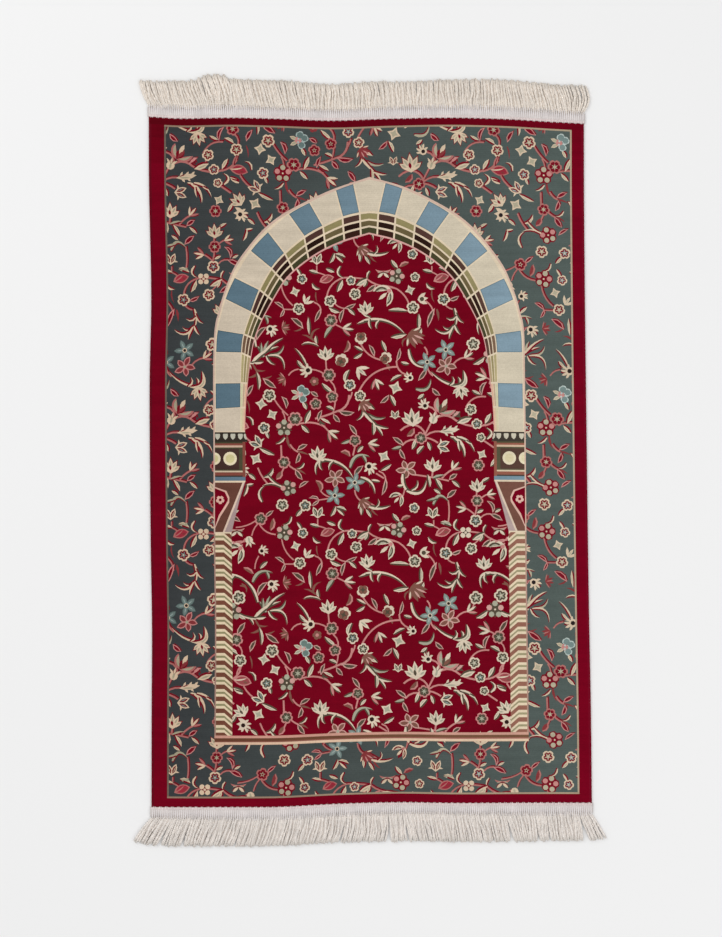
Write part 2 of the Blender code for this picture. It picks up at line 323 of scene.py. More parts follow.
        (366.5, 661, 359.5, 674, 3, 3.4), (366, 665, 383, 682, -1, 4.6), (378, 679, 392, 682, -1, 3.8),
        (380, 680, 386, 689.5, 1, 3.4), (456.5, 690, 468, 710, 4, 5.8),
        (460, 689.5, 478, 704.5, 4, 3.6), (461, 694, 463, 704.5, -0.5, 3.4),
        (469, 694, 475, 697.5, 0, 2.4), (490.5, 691.5, 489.5, 680, -5, 4),
        (457, 690, 453, 689.5, 0, 3.4),
    ),
    "comma": (
        (254, 483, 246, 484.5, 0, 2.6), (248, 483, 244, 496, 1.5, 2.8), (297, 521, 302, 529, 0, 2.8),
        (321, 542, 313, 536, 2.5, 3), (310, 523, 320, 525.5, 0.5, 3.2),
        (303, 508, 296.5, 515.5, 0.5, 4), (260, 568, 268, 560.5, 0, 3.6),
        (336, 505, 331, 515.5, 1.5, 3.4), (336, 506, 347, 509.5, 1.5, 3.2),
        (337, 508, 344.5, 515, 0, 2.8), (361, 503, 361.5, 514.5, 0, 3.6),
        (366, 508, 371.5, 517, 0, 3.4), (371, 479, 380.5, 480.5, 0.5, 2.6),
        (404, 484, 397.5, 485, 0, 3), (400, 521, 393, 512.5, 0, 4.2), (336, 524.5, 327, 521, 0.5, 3.6),
        (369, 531, 357.5, 538, 1, 6), (368, 532, 365, 539.5, 0, 4), (344, 532, 338.5, 544.5, 1, 5),
        (330, 560, 341.5, 565, -1.5, 4.2), (349, 561, 356.5, 568, 0, 3.4),
        (410, 564, 390, 563, -1.5, 3.6), (436, 477, 442.5, 488.5, 1, 4.2),
        (428, 473, 430.5, 486, 1, 3.4), (452, 479, 460, 486, 0, 3.6), (434, 488, 441, 492.5, 0, 3.4),
        (435, 525, 424.5, 522.5, -0.5, 3.4), (452, 524.5, 441, 520.5, -1.5, 4.2),
        (437, 542, 428, 536, 2.5, 3), (459, 532, 453.5, 544.5, 1, 5), (485, 531, 472.5, 538.5, 1, 6),
        (483, 532, 480, 540, 0, 4), (477, 511.5, 484, 508, 0, 3.6), (495, 510.5, 501.5, 507, 0, 3.2),
        (311, 588, 309.5, 570, 0.5, 3.4), (319, 597, 317.5, 588.5, 1, 3.2), (255, 617, 266, 616, -1, 3),
        (259, 626, 261.5, 644, 2, 3.2), (306, 621, 299.5, 613.5, 0, 3.6),
        (366, 604, 356.5, 598.5, -0.5, 2.8), (365, 606, 356, 611.5, 1, 3.4),
        (389, 605, 384, 593.5, -0.5, 3.8), (348, 636, 352, 622.5, 2.5, 4.6),
        (412, 617, 403.5, 615, 0, 3.2), (405, 628, 393, 634.5, -1.5, 3.2),
        (336, 646, 324.5, 636, 0, 4.2), (409, 587.5, 393, 590.5, 1, 4.8),
        (421, 583, 421, 566.5, -1, 3.8), (422, 590.5, 424, 581.5, 0, 3.6), (488, 609, 476, 617, 2, 4.6),
        (499, 610, 508, 615.5, -0.5, 4.4), (466.5, 623, 454, 639, 9, 5.4), (427, 647, 420.5, 652, 0, 4),
        (484, 647, 475, 642.5, 0, 3.4), (490, 645, 500, 650.5, 1.5, 4.2),
        (305, 655, 309.5, 663, 0, 4.2), (268, 685, 271.5, 692.5, 0, 3.4),
        (308, 677, 313.5, 663.5, -0.5, 5), (304, 678.5, 312, 686.5, -0.5, 4.2),
        (262, 702, 277.5, 709, -1, 4), (251, 728, 258.5, 734, 0, 3.6),
        (276.5, 722, 266.5, 731.5, 3, 3.4), (337, 663, 329, 659.5, -1, 3.4),
        (323, 671.5, 333.5, 677, 0.5, 3.8), (365, 653, 377.5, 663, -1, 5),
        (376, 675, 376.5, 688.5, 1.5, 3.8), (360.5, 706, 366.5, 699.5, 0, 3.8),
        (384, 724.5, 394.5, 718, -1, 3.4), (419, 692, 415, 703, 0, 4.4),
        (393, 648, 398.5, 659.5, 1, 4.2), (460, 676, 475, 670.5, -0.5, 7),
        (488, 676.5, 494, 665.5, 0.5, 5.2), (427, 699, 420, 707.5, -1.5, 4.4),
        (430.5, 695, 433.5, 704, 0, 3.8), (496, 684, 506, 688, -1, 4.2), (499, 710, 493.5, 719, 0, 4.2),
        (484, 735, 492.5, 730, 0.5, 3.4),
    ),
}
print("strokes in one repeat:", sum(map(len, STROKES.values())))

# %% Blooms of the repeat, kind by kind
# x, y, direction in degrees anticlockwise from the right, size
BLOOMS = {
    "daisy": (
        (289, 487, 110, 8.4), (284.5, 531.5, 75, 8.6), (398.5, 529, 70, 8.4), (495, 608, 90, 9.2),
        (287, 681.5, 90, 8.8),
    ),
    "rosette": (
        (282.5, 504, 90, 7.2), (300, 562, 90, 7), (356.5, 546.5, 80, 6.8), (331.5, 553.5, 30, 7),
        (415, 560.5, 50, 7.4), (417, 530, 50, 5.6), (471.5, 547, 80, 7), (272, 649.5, 90, 7.6),
        (363, 649, 120, 6.6), (476, 596.5, 60, 7.8), (501, 594, 70, 8), (502.5, 656.5, 90, 7.2),
        (474, 662, 80, 6.8), (484, 690, 30, 5.4),
    ),
    "bluerose": (
        (305.5, 504.5, 60, 6.8), (303, 532, 100, 6), (414.5, 507, 40, 6), (352.5, 533, 60, 5.6),
        (446, 552, 30, 7.2), (476, 519, 90, 7.2), (352.5, 638, 90, 6.8), (267, 682, 140, 6.8),
        (480, 676.5, 60, 6.2),
    ),
    "heart": (
        (318, 512, 270, 6.8), (433, 512, 270, 6.8), (398, 668.5, 270, 5.2),
    ),
    "pinkrose": (
        (261, 518, 45, 7.2), (335, 650, 60, 6.8), (318.5, 657, 60, 6.8), (358, 694, 90, 6.8),
    ),
    "bell": (
        (249.5, 540, 285, 6.6), (436.5, 672, 75, 7.2),
    ),
    "pinwheel": (
        (262, 550, 30, 7), (271.5, 583, 330, 8.4), (310.5, 623.5, 190, 9), (413, 631, 170, 7),
        (244, 724, 350, 8.6), (372, 720, 320, 9), (428, 659, 135, 7.8),
    ),
    "bud": (
        (296, 545, 20, 5.6), (412, 543, 20, 5.6), (398.5, 641, 70, 7.4), (264, 658, 80, 6.4),
        (275, 668.5, 30, 6.2), (259, 713, 60, 6.8), (387, 710, 60, 6.8), (485, 707, 60, 5.6),
    ),
    "bud3": (
        (308, 553.5, 55, 6), (363.5, 624, 320, 7.6),
    ),
    "tulip": (
        (328, 532, 200, 7.4), (443.5, 531.5, 200, 8),
    ),
    "quatrefoil": (
        (335.5, 477, 48, 11.2), (449, 619, 64, 11.5), (410, 723, 40, 11.5),
    ),
    "star": (
        (355, 481.5, 5, 10.4), (335, 494.5, 4, 10.2), (448.5, 602.5, 185, 10.8), (430, 615, 184, 10.2),
    ),
    "fan": (
        (361, 499, 320, 12), (411, 586, 330, 17), (364, 655, 320, 12),
    ),
    "hood": (
        (402, 493.5, 240, 12.5), (393, 542, 232, 18), (505, 543, 232, 18),
    ),
    "mantle": (
        (385, 525.5, 270, 7), (499.5, 528, 270, 7),
    ),
    "palmette": (
        (368, 566, 97, 13), (478, 489, 92, 13), (484.5, 567, 92, 13), (328.5, 612, 95, 13.5),
        (463, 640, 280, 13), (321, 713, 92, 14), (416, 678, 95, 17), (507, 711, 125, 13),
        (436, 724, 90, 14),
    ),
    "cross": (
        (466, 531, 45, 6.4),
    ),
    "pod": (
        (424, 552, 10, 6.4), (506, 720, 180, 6.6),
    ),
    "fork": (
        (467, 507, 170, 11), (487, 493, 10, 10), (344, 581, 355, 12), (378, 632, 290, 12),
        (467, 611, 35, 11), (490, 630, 160, 13), (331, 684, 320, 13), (371, 697, 350, 12),
        (455, 723, 50, 11),
    ),
    "floret": (
        (477.5, 499, 90, 6.8), (332.5, 573, 80, 7.4), (331.5, 628, 90, 7.6), (498.5, 636, 75, 7.4),
        (298, 672.5, 90, 8), (287, 716, 80, 7), (424, 691.5, 70, 7), (481.5, 718, 90, 7),
    ),
    "thistle": (
        (283, 582, 10, 9), (288, 632, 200, 9),
    ),
    "dot": (
        (317, 634.5, 0, 4.6),
    ),
    "cluster": (
        (303.5, 648, 90, 9.6),
    ),
    "shadedrose": (
        (344, 613, 250, 7.4), (363, 591, 90, 6.8), (388.5, 611, 225, 6.8),
    ),
    "pinktulip": (
        (505, 677.5, 170, 9),
    ),
    "blueheart": (
        (260, 697, 320, 7.4), (446, 699.5, 180, 7.2),
    ),
    "bloom": (
        (442, 666, 52, 15),
    ),
    "lobed": (
        (442, 685, 8, 21),
    ),
}
print("blooms in one repeat:", sum(map(len, BLOOMS.values())))

# %% [markdown]
# ## From strokes and blooms to outlines
# Every mark becomes a few closed outlines, each with the yarn that fills it. Later outlines lie
# over earlier ones, so a flower is built like paper cut-outs: a pale scalloped disc, a smaller
# dark one, a coloured star and a pale eye. Few points are spent on each, because a loom of this
# kind draws a small flower with only a few tufts. A part is a small function that remembers its
# yarn and its shape as shares of the flower's size, so each flower is one short list of parts.

# %% Outlines of bent strokes
def bent(x0, y0, x1, y1, bulge, width, swell, start=0.0, stop=1.0, steps=0):
    """Outline of a bent stroke whose width follows swell(share)."""
    run_x, run_y = x1 - x0, y1 - y0
    run = math.hypot(run_x, run_y)
    way_x, way_y = run_x / run, run_y / run
    left_x, left_y = way_y, -way_x
    count = steps or max(3, round(run * (stop - start) / 7 + abs(bulge) / 1.6))
    left, right = [], []
    for step in range(count + 1):
        share = step / count
        t = start + (stop - start) * share
        sag = 4 * bulge * t * (1 - t)
        lean = 4 * bulge * (1 - 2 * t) / run
        scale = 1 / math.hypot(1, lean)
        nx = (left_x - way_x * lean) * scale
        ny = (left_y - way_y * lean) * scale
        half = width / 2 * swell(share)
        x = x0 + run_x * t + left_x * sag
        y = y0 + run_y * t + left_y * sag
        left.append((x + nx * half, y + ny * half))
        if half > 0.05:
            right.append((x - nx * half, y - ny * half))
    return left + right[::-1]


def even(t):
    """A stroke as wide all along."""
    return 1.0


def lens(t):
    """A stroke that is pointed at both ends."""
    return math.sin(math.pi * t) ** 0.75 if 0 < t < 1 else 0.0


def taper(t):
    """A stroke that thins to a point."""
    return min(1.0, 0.45 + 3 * t) * (1 - t) ** 0.6


print("points of a short stroke:", len(bent(0, 0, 10, 0, 1, 2, lens)))

# %% Outlines of round shapes
def point(x, y, turn, along, aside=0.0):
    """A point that far along and to the left of a direction in degrees."""
    angle = math.radians(turn)
    return (x + along * math.cos(angle) - aside * math.sin(angle),
            y - along * math.sin(angle) - aside * math.cos(angle))


def round_outline(x, y, turn, reaches):
    """A closed outline whose corners lie at these distances, evenly round a middle."""
    return [point(x, y, turn + 360 * i / len(reaches), reach) for i, reach in enumerate(reaches)]


def ring(x, y, radius, corners=8, turn=0.0):
    """Outline of a round spot."""
    return round_outline(x, y, turn, [radius] * corners)


def scallop(x, y, radius, lobes, notch, turn):
    """Outline with round lobes and a notch between each two."""
    return round_outline(x, y, turn, [radius * notch, radius, radius, radius] * lobes)


print("points of a rosette's edge:", len(scallop(0, 0, 1, 5, 0.8, 0)))

# %% Parts of flowers: shapes that know their yarn, with sizes as shares of the flower's size
# Every petal is drawn at this share of the width that its flower asks for
PETAL_SLIM = 0.8


def disc(yarn, radius, corners=6, at=0.0, side=0):
    """A round spot, at a distance in a direction that is counted from the flower's own."""
    return lambda x, y, turn, size: (
        yarn, ring(*point(x, y, turn + side, size * at), size * radius, corners, turn))


def lobed(yarn, radius, count=5, notch=0.8, at=0.0, side=0, twist=0):
    """A scalloped disc."""
    return lambda x, y, turn, size: (
        yarn, scallop(*point(x, y, turn + side, size * at), size * radius, count, notch, turn + twist))


def tips(yarn, reach, hub, count, twist=0, at=0.0):
    """A many-pointed star."""
    return lambda x, y, turn, size: (
        yarn, round_outline(*point(x, y, turn, size * at), turn + twist, [size * reach, size * hub] * count))


def petal(yarn, side, reach, width, start=0.0, bow=0.0, at=0.0, steps=3):
    """A petal whose foot lies at a distance along the flower's direction."""
    def draw(x, y, turn, size):
        foot = point(x, y, turn, size * at)
        near = point(*foot, turn + side, size * start)
        far = point(*foot, turn + side, size * reach)
        count = steps + round(abs(bow * size))
        return yarn, bent(*near, *far, bow * size, size * width * PETAL_SLIM, lens, steps=count)
    return draw


print("points of a petal:", len(petal("line", 0, 1.0, 0.5)(0, 0, 90, 10)[1]))

# %% Flowers that come in two yarns
def rose(edge, middle):
    """A five-lobed rose with its own star."""
    return (lobed(edge, 0.88), lobed("shade", 0.64, notch=0.74), tips(middle, 0.58, 0.2, 5, 36),
            disc(edge, 0.12, 5))


def heart(middle):
    """A folded flower whose two halves meet at the tip."""
    return (
        *[petal("line", 90 * side, 1.1, 0.34, bow=0.09 * side, at=0.35) for side in (-1, 1)],
        *[petal("line", 180 + side, 1.85, 0.98, at=0.8, steps=4) for side in (-21, 21)],
        *[petal("shade", 180 + side, 1.6, 0.6, 0.3, at=0.8) for side in (-21, 21)],
        *[petal(middle, 180 + side, 1.45, 0.26, 0.5, at=0.8, steps=2) for side in (-24, 24)],
    )


def tulip(streak):
    """A closed flower with one pale streak."""
    return (petal("stem", 180, 2.1, 1.45, bow=0.1, at=1.05, steps=5),
            petal("rose", 180, 1.92, 1.12, 0.25, 0.1, 1.05, 5),
            petal(streak, 197, 1.55, 0.2, bow=-0.12, at=1.05, steps=4),
            petal("brown", 170, 0.5, 0.3, at=-0.1))


def hood_side(side, reach, width, bow):
    """One side of a hood: a pale petal, its dark inside and a streak."""
    return (petal("line", side, reach, width, bow=bow),
            petal("shade", side * 0.96, reach * 0.9, width * 0.55, 0.2, bow),
            petal("sage", side * 0.86, reach * 0.8, 0.1, 0.3, bow))


print("parts of a rose and a heart:", len(rose("line", "sage")), len(heart("sage")))

# %% The flowers
# Each petal of a palmette: degrees to the left of its direction, and its share of the size
PALMETTE = ((-57, 0.76), (55, 0.8), (-29, 0.9), (30, 0.92), (1, 1.0))
PINWHEEL = ((-95, 0.8), (-50, 1.02), (-15, 1.0), (20, 1.0), (55, 0.92))
FORK = ((-36, 0.95, "stem"), (0, 1.0, "line"), (36, 0.9, "line"))
FAN = ((-60, 0.75), (-35, 1.0), (-8, 1.1), (20, 1.0), (48, 0.75))
FAN_STREAKS = ((-66, 0.8, "line"), (-22, 0.9, "blush"), (8, 1.0, "blush"), (55, 0.8, "line"))
THISTLE = ((-50, 0.9), (-18, 1.0), (18, 1.0), (50, 0.9))
# Each round head of a cluster: direction, distance and radius
CLUSTER = ((-6, 0.56, 0.46), (-62, 0.6, 0.42), (-154, 0.5, 0.42))

FLOWERS = {
    "rosette": rose("line", "sage"),
    "bluerose": rose("line", "blue"),
    "pinkrose": (lobed("stem", 0.9), lobed("shade", 0.68, notch=0.75), tips("sage", 0.42, 0.15, 5, 36),
                 disc("shade", 0.14, 5)),
    "shadedrose": (lobed("line", 0.9, notch=0.82), lobed("brown", 0.7, 4, at=0.22),
                   tips("shade", 0.55, 0.2, 4, at=0.22)),
    "floret": (lobed("stem", 0.9, 6), lobed("shade", 0.68, 6), tips("sage", 0.46, 0.16, 6)),
    "daisy": (
        tips("shade", 0.95, 0.4, 5, 36),
        *[disc(yarn, 0.31, 8, 0.66, 72 * i)
          for i, yarn in enumerate(("sage", "blush", "sage", "sage", "blush"))],
        disc("shade", 0.28), disc("line", 0.12, 5),
    ),
    "cross": (
        *[disc("line", 0.42, 8, 0.6, 90 * i) for i in range(4)],
        tips("shade", 0.6, 0.25, 4, 45), disc("line", 0.22),
    ),
    "star": (
        *[petal("teal", 72 * i, 1.02, 0.62, steps=4) for i in range(5)],
        *[petal("blue", 72 * i, 0.98, 0.44, steps=4) for i in range(5)],
        *[petal("pale", 72 * i, 0.7, 0.1, 0.2) for i in range(5)],
        disc("line", 0.22, 8), disc("eye", 0.15),
    ),
    "quatrefoil": (
        *[petal("blush", 72 * i, reach, 0.66, bow=0.05)
          for i, reach in enumerate((1.0, 0.85, 1.0, 0.85, 0.95))],
        *[petal("brown", 72 * i, 0.88 * reach, 0.42, 0.12, 0.05)
          for i, reach in enumerate((1.0, 0.85, 1.0, 0.85, 0.95))],
        disc("sage", 0.14),
    ),
    "bud": (tips("line", 0.98, 0.5, 4), tips("sage", 0.58, 0.3, 4)),
    "bud3": (*[petal("line", side, 1.7, 0.62, at=-0.7) for side in (-38, 0, 38)],
             petal("sage", 0, 1.2, 0.3, 0.2, at=-0.7)),
    "pod": (*[petal("line", side, 1.7, 0.8, at=-0.7) for side in (-32, 0, 32)], disc("shade", 0.36, 7)),
    "pinwheel": (
        disc("line", 0.48, 8),
        *[petal("line", side, reach, 0.36, 0.2, 0.07) for side, reach in PINWHEEL],
        petal("sage", -32, 1.0, 0.16, 0.45, steps=2), disc("eye", 0.27),
    ),
    "bell": (
        disc("line", 0.6, 9, -0.1),
        *[petal("line", side, 1.1, 0.42, -0.3) for side in (-44, 2, 46)],
        petal("sage", 0, 0.4, 0.4, -0.6),
        *[petal("shade", side, 0.95, 0.12, 0.1, steps=2) for side in (-21, 24)],
    ),
    "heart": heart("sage"),
    "blueheart": heart("blue"),
    "tulip": tulip("stem"),
    "pinktulip": tulip("line"),
    "hood": (*hood_side(-46, 1.05, 0.44, -0.12), *hood_side(24, 1.0, 0.42, 0.06),
             petal("line", -12, 0.92, 0.26, 0.3), petal("stem", -12, 0.3, 0.3)),
    "mantle": (
        *[petal("shade", 60 * side, 1.1, 0.5, -0.3) for side in (-1, 1)],
        *[petal("line", 48 * side, 1.1, 0.5) for side in (-1, 1)],
        *[petal("stem", 100 * side, 1.15, 0.32, -0.1, -0.22 * side, -0.3) for side in (-1, 1)],
        *[petal("sage", 70 * side, 0.9, 0.16, 0.2, at=-0.3) for side in (-1, 1)],
    ),
    "fork": (*[petal("shade", side - 8, reach, 0.28) for side, reach, yarn in FORK],
             *[petal(yarn, side, reach, 0.26) for side, reach, yarn in FORK]),
    "thistle": (*[petal("brown", side, reach, 0.36) for side, reach in THISTLE],
                *[petal("stem", side, 0.92, 0.17, 0.1) for side in (-66, 0, 66)]),
    "fan": (*[petal("brown", side, reach, 0.38) for side, reach in FAN],
            *[petal(yarn, side, reach, 0.15, 0.3) for side, reach, yarn in FAN_STREAKS]),
    "palmette": (
        *[petal("line", side, reach, 0.4) for side, reach in PALMETTE],
        *[petal("sage", side, reach * 0.84, 0.16, 0.3) for side, reach in PALMETTE],
        disc("line", 0.26, 6, 0.14), petal("shade", 8, 0.5, 0.24, 0.1),
    ),
    "bloom": (
        petal("stem", 42, 1.05, 0.46, bow=0.13, steps=4), petal("stem", -42, 1.15, 0.46, bow=-0.13, steps=4),
        petal("shade", 0, 0.85, 0.7, steps=4),
        petal("sage", 40, 0.95, 0.24, 0.15, 0.1), petal("sage", -40, 1.0, 0.2, 0.15, -0.12),
        petal("line", 8, 1.1, 0.36, 0.4), petal("brown", -8, 0.8, 0.3, 0.1),
    ),
    "lobed": (
        petal("line", 0, 1.0, 0.34, steps=4),
        *[petal("line", side, 0.3, 0.14, at=at)
          for at, side in ((0.2, 60), (0.45, 50), (0.25, -60), (0.5, -55), (0.7, 40))],
        petal("sage", -6, 0.7, 0.1, 0.15), petal("shade", 14, 0.5, 0.07, 0.15),
    ),
    "cluster": (
        *[petal("line", side, 1.1, 0.5, 0.2) for side in (68, 118)],
        *[petal("sage", side, 1.0, 0.34, 0.3) for side in (68, 118)],
        *[lobed("pale", radius, 4, 0.85, far, side, -60) for side, far, radius in CLUSTER],
        lobed("blush", 0.36, at=0.14, side=80),
        *[disc("teal", radius * 0.78, 7, far, side) for side, far, radius in CLUSTER],
        *[disc("pale", 0.12, 6, 0.22, side) for side in (30, 140)],
    ),
    "dot": (lobed("brown", 1.0), disc("stem", 0.4)),
}

# The crimson yarn that lies under some flowers in the border
HALOS = {
    "daisy": (lobed("halo", 1.06, twist=36),),
    "palmette": tuple(petal("halo", side, reach + 0.11, 0.44) for side, reach in PALMETTE),
    "fork": (petal("halo", 0, 1.05, 0.5, steps=4),),
    "pinwheel": (petal("halo", 0, 1.05, 0.5, steps=4),),
    "hood": (petal("halo", 0, 1.05, 0.5, steps=4),),
}
print("kinds of flower:", len(FLOWERS))

# %% Parts of strokes, and the strokes
# How far a stroke's dark shade lies to its hollow side, and the least width that has a streak
SHADE_OFF = 1.2
STREAK_FROM = 3.1


def band(yarn, share, swell=lens, start=0.0, stop=1.0, trim=0.0, off=0.0, steps=0, least=0.0):
    """A band along a stroke: its share of the width less a trim, moved off to the hollow side.

    A stroke narrower than the least width goes without it.
    """
    def draw(x0, y0, x1, y1, bulge, width):
        if width < least:
            return None
        side = 1 if bulge > 0 else -1
        run = math.hypot(x1 - x0, y1 - y0)
        dx, dy = -side * off * (y1 - y0) / run, side * off * (x1 - x0) / run
        return yarn, bent(x0 + dx, y0 + dy, x1 + dx, y1 + dy, bulge, width * share - trim,
                          swell, start, stop, steps)
    return draw


# In weaving order
STROKE_BANDS = {
    "halo stem": (band("halo", 0.8, even),),
    "halo leaf": (band("halo", 0.8),),
    "tendril": (band("brown", 1, taper),),
    "stem": (band("stem", 0.72, even),),
    "leaf": (band("blush", 1), band("shade", 1, lens, 0.12, 0.92, 2.0)),
    "dark": (band("stem", 1), band("brown", 1, lens, 0.05, 0.95, 1.0, off=SHADE_OFF)),
    "sage": (band("shade", 0.9, taper, off=SHADE_OFF), band("sage", 0.8, taper)),
    "frond": (band("shade", 0.9, taper, off=SHADE_OFF), band("line", 0.64, taper)),
    "comma": (band("shade", 1, off=SHADE_OFF, steps=3), band("line", 0.72),
              band("sage", 0.28, lens, 0.2, 0.85, steps=3, least=STREAK_FROM)),
}
print("kinds of stroke:", len(STROKE_BANDS))

# %% [markdown]
# ## The niche and its bands
# The niche is a pointed arch on two short columns. Its arch ring has 25 blocks, blue and beige
# in turn, over a moulding of three thin dark rows. Both sides are woven alike, so each part is
# given once, by its distance from the niche's middle line, and mirrored. The joints of the ring
# are one table with a column for each curve, so the same joints cut the ring, the moulding and
# the field's edge.

# %% The niche's middle line and the joints of its arch ring
NICHE_MIDDLE = (
    # square down, middle line's square across
    (150, 373.2),
    (232, 371.4),
    (346, 370.7),
    (431, 370.9),
    (540, 370.4),
    (750, 369.6),
)
ARCH_FOOT = 430.9
RING_SHARE = 0.99
CORBEL_FOOT = 533.0
COLUMN_FOOT = 734.3
BAR_FOOT = 743.5
NICHE_HALF = 156.3
COLUMN_INNER = 138.6
COLUMN_OUTER = 154.9

ARCH_OUTLINE = (
    # row, distance from the middle line, square down
    (0, 0.0, 175.9),
    (1, 32.9, 185.9),
    (2, 59.0, 197.8),
    (3, 86.8, 213.4),
    (4, 105.4, 228.3),
    (5, 120.9, 245.9),
    (6, 134.8, 265.0),
    (7, 142.6, 281.8),
    (8, 148.9, 299.7),
    (9, 152.3, 313.4),
    (10, 154.8, 322.6),
    (11, 156.3, 345.6),
    (12, 156.3, 430.9),
)
JOINTS = (
    # joint, ring's outer edge, ring's inner edge, field's edge: each a distance and a square down
    (0, 0.0, 178.6, 0.0, 210.2, 0.0, 233.4),
    (1, 15.7, 182.4, 9.5, 211.1, 8.3, 235.6),
    (2, 34.2, 188.9, 26.9, 215.0, 24.9, 240.2),
    (3, 59.5, 201.1, 46.4, 223.9, 43.7, 248.2),
    (4, 81.0, 213.8, 65.6, 235.2, 60.9, 258.8),
    (5, 101.3, 231.6, 85.3, 252.0, 75.8, 270.9),
    (6, 119.6, 251.6, 99.3, 268.0, 86.0, 282.0),
    (7, 135.3, 277.5, 111.3, 289.2, 97.3, 300.4),
    (8, 145.2, 299.9, 119.8, 312.1, 107.7, 319.9),
    (9, 152.3, 329.8, 126.6, 334.0, 114.9, 338.9),
    (10, 153.6, 352.3, 128.6, 352.9, 118.4, 357.6),
    (11, 153.8, 383.0, 129.0, 382.8, 121.6, 383.2),
    (12, 153.8, 408.8, 129.3, 407.4, 123.7, 407.4),
    (13, 154.0, 431.4, 129.5, 431.4, 124.7, 431.4),
)
RING_OUTER, RING_INNER, FIELD_EDGE = 1, 3, 5
print("joints down one side of the ring:", len(JOINTS))

# %% Outlines on one side, on both sides and along a curve
def niche_point(side, half, down):
    """A chart point at a distance to one side of the niche's middle line."""
    return read_off(NICHE_MIDDLE, down, 1) + side * half, down


def both_sides(halves):
    """A closed outline from the points of its right half, given from top to bottom."""
    right = [niche_point(1, half, down) for half, down in halves]
    left = [niche_point(-1, half, down) for half, down in halves if half > 0]
    return right + left[::-1]


def curve(table, column, start, stop, steps):
    """Points of a curve between two of its rows."""
    spots = [start + (stop - start) * step / steps for step in range(steps + 1)]
    return [(read_off(table, at, column), read_off(table, at, column + 1)) for at in spots]


def between(start, stop, share):
    """A curve of points a share of the way from one curve to another."""
    return [
        (a[0] + (b[0] - a[0]) * share, a[1] + (b[1] - a[1]) * share)
        for a, b in zip(start, stop)
    ]


print("the niche's middle at its point and its foot:", niche_point(0, 0, 150), niche_point(0, 0, 750))

# %% Weaving one area over another
# Areas of the chart in weaving order: the yarns, or "field" or "border", and the outline
areas = []


def lay(paint, outline):
    """Weave an outline over what is there already."""
    areas.append((paint, outline))


def lay_both(paint, halves):
    """Weave the same outline on the left and on the right of the niche."""
    for side in (-1, 1):
        lay(paint, [niche_point(side, half, down) for half, down in halves])


def rectangle(left, top, right, bottom, step=18):
    """Outline of a rectangle with a point about every step squares, so that it can bend."""
    across = max(1, round((right - left) / step))
    down = max(1, round((bottom - top) / step))
    points = [(left + (right - left) * i / across, top) for i in range(across)]
    points += [(right, top + (bottom - top) * i / down) for i in range(down)]
    points += [(right - (right - left) * i / across, bottom) for i in range(across)]
    points += [(left, bottom - (bottom - top) * i / down) for i in range(down)]
    return points


print("points round a small rectangle:", len(rectangle(0, 0, 36, 18)))

# %% The crimson frame, the guard line, the border and the field
RIM_INSET = 0.94
GUARD_LEFT, GUARD_TOP, GUARD_RIGHT, GUARD_FOOT = 167.2, 126.2, 575.0, 795.9
GUARD_WIDTH = 1.7
SELVEDGE_WIDTH = 2.6
# Depth in squares of each step of the painted head shade's fade
HEAD_SHADE_FADE_DEPTH = 13
FRAME_STEP = 9

lay(CRIMSON, rectangle(CLOTH_LEFT + RIM_INSET, CLOTH_HEAD + RIM_INSET,
                       CLOTH_RIGHT - RIM_INSET, CLOTH_FOOT - RIM_INSET, FRAME_STEP))
for left, right in ((CLOTH_LEFT + RIM_INSET, CLOTH_LEFT + SELVEDGE_WIDTH),
                    (CLOTH_RIGHT - SELVEDGE_WIDTH, CLOTH_RIGHT - RIM_INSET)):
    lay(SELVEDGE, rectangle(left, CLOTH_HEAD + RIM_INSET, right, CLOTH_FOOT - RIM_INSET, FRAME_STEP))
# Painted shade: a darker crimson band along the head end of the frame
lay(CRIMSON_HEAD_PAINTED_SHADE, rectangle(CLOTH_LEFT + RIM_INSET, CLOTH_HEAD + RIM_INSET,
                             CLOTH_RIGHT - RIM_INSET, GUARD_TOP - GUARD_WIDTH / 2, FRAME_STEP))
# Painted shade fading out below the head band, in three steps down the frame's sides
for row, paint in enumerate(CRIMSON_HEAD_SHADE_FADE):
    top = GUARD_TOP - GUARD_WIDTH / 2 + HEAD_SHADE_FADE_DEPTH * row
    lay(paint, rectangle(CLOTH_LEFT + SELVEDGE_WIDTH, top,
                         CLOTH_RIGHT - SELVEDGE_WIDTH, top + HEAD_SHADE_FADE_DEPTH, FRAME_STEP))
lay(GUARD_ENDS, rectangle(GUARD_LEFT - GUARD_WIDTH / 2, GUARD_TOP - GUARD_WIDTH / 2,
                          GUARD_RIGHT + GUARD_WIDTH / 2, GUARD_FOOT + GUARD_WIDTH / 2))
lay(GUARD, rectangle(GUARD_LEFT - GUARD_WIDTH / 2, GUARD_TOP + GUARD_WIDTH / 2,
                     GUARD_RIGHT + GUARD_WIDTH / 2, GUARD_FOOT - GUARD_WIDTH / 2))
border_outline = rectangle(GUARD_LEFT + GUARD_WIDTH / 2, GUARD_TOP + GUARD_WIDTH / 2,
                           GUARD_RIGHT - GUARD_WIDTH / 2, GUARD_FOOT - GUARD_WIDTH / 2)
lay("border", border_outline)

arch_edge = curve(ARCH_OUTLINE, 1, 0, 12, 48)
niche_outline = both_sides(arch_edge + [(NICHE_HALF, 530), (NICHE_HALF, 630), (NICHE_HALF, BAR_FOOT)])
lay(OUTLINE, niche_outline)
ring_edge = [(half * RING_SHARE, ARCH_FOOT + (down - ARCH_FOOT) * RING_SHARE) for half, down in arch_edge]
lay(CREAM, both_sides(ring_edge + [(COLUMN_OUTER, 530), (COLUMN_OUTER, 630), (COLUMN_OUTER, BAR_FOOT)]))

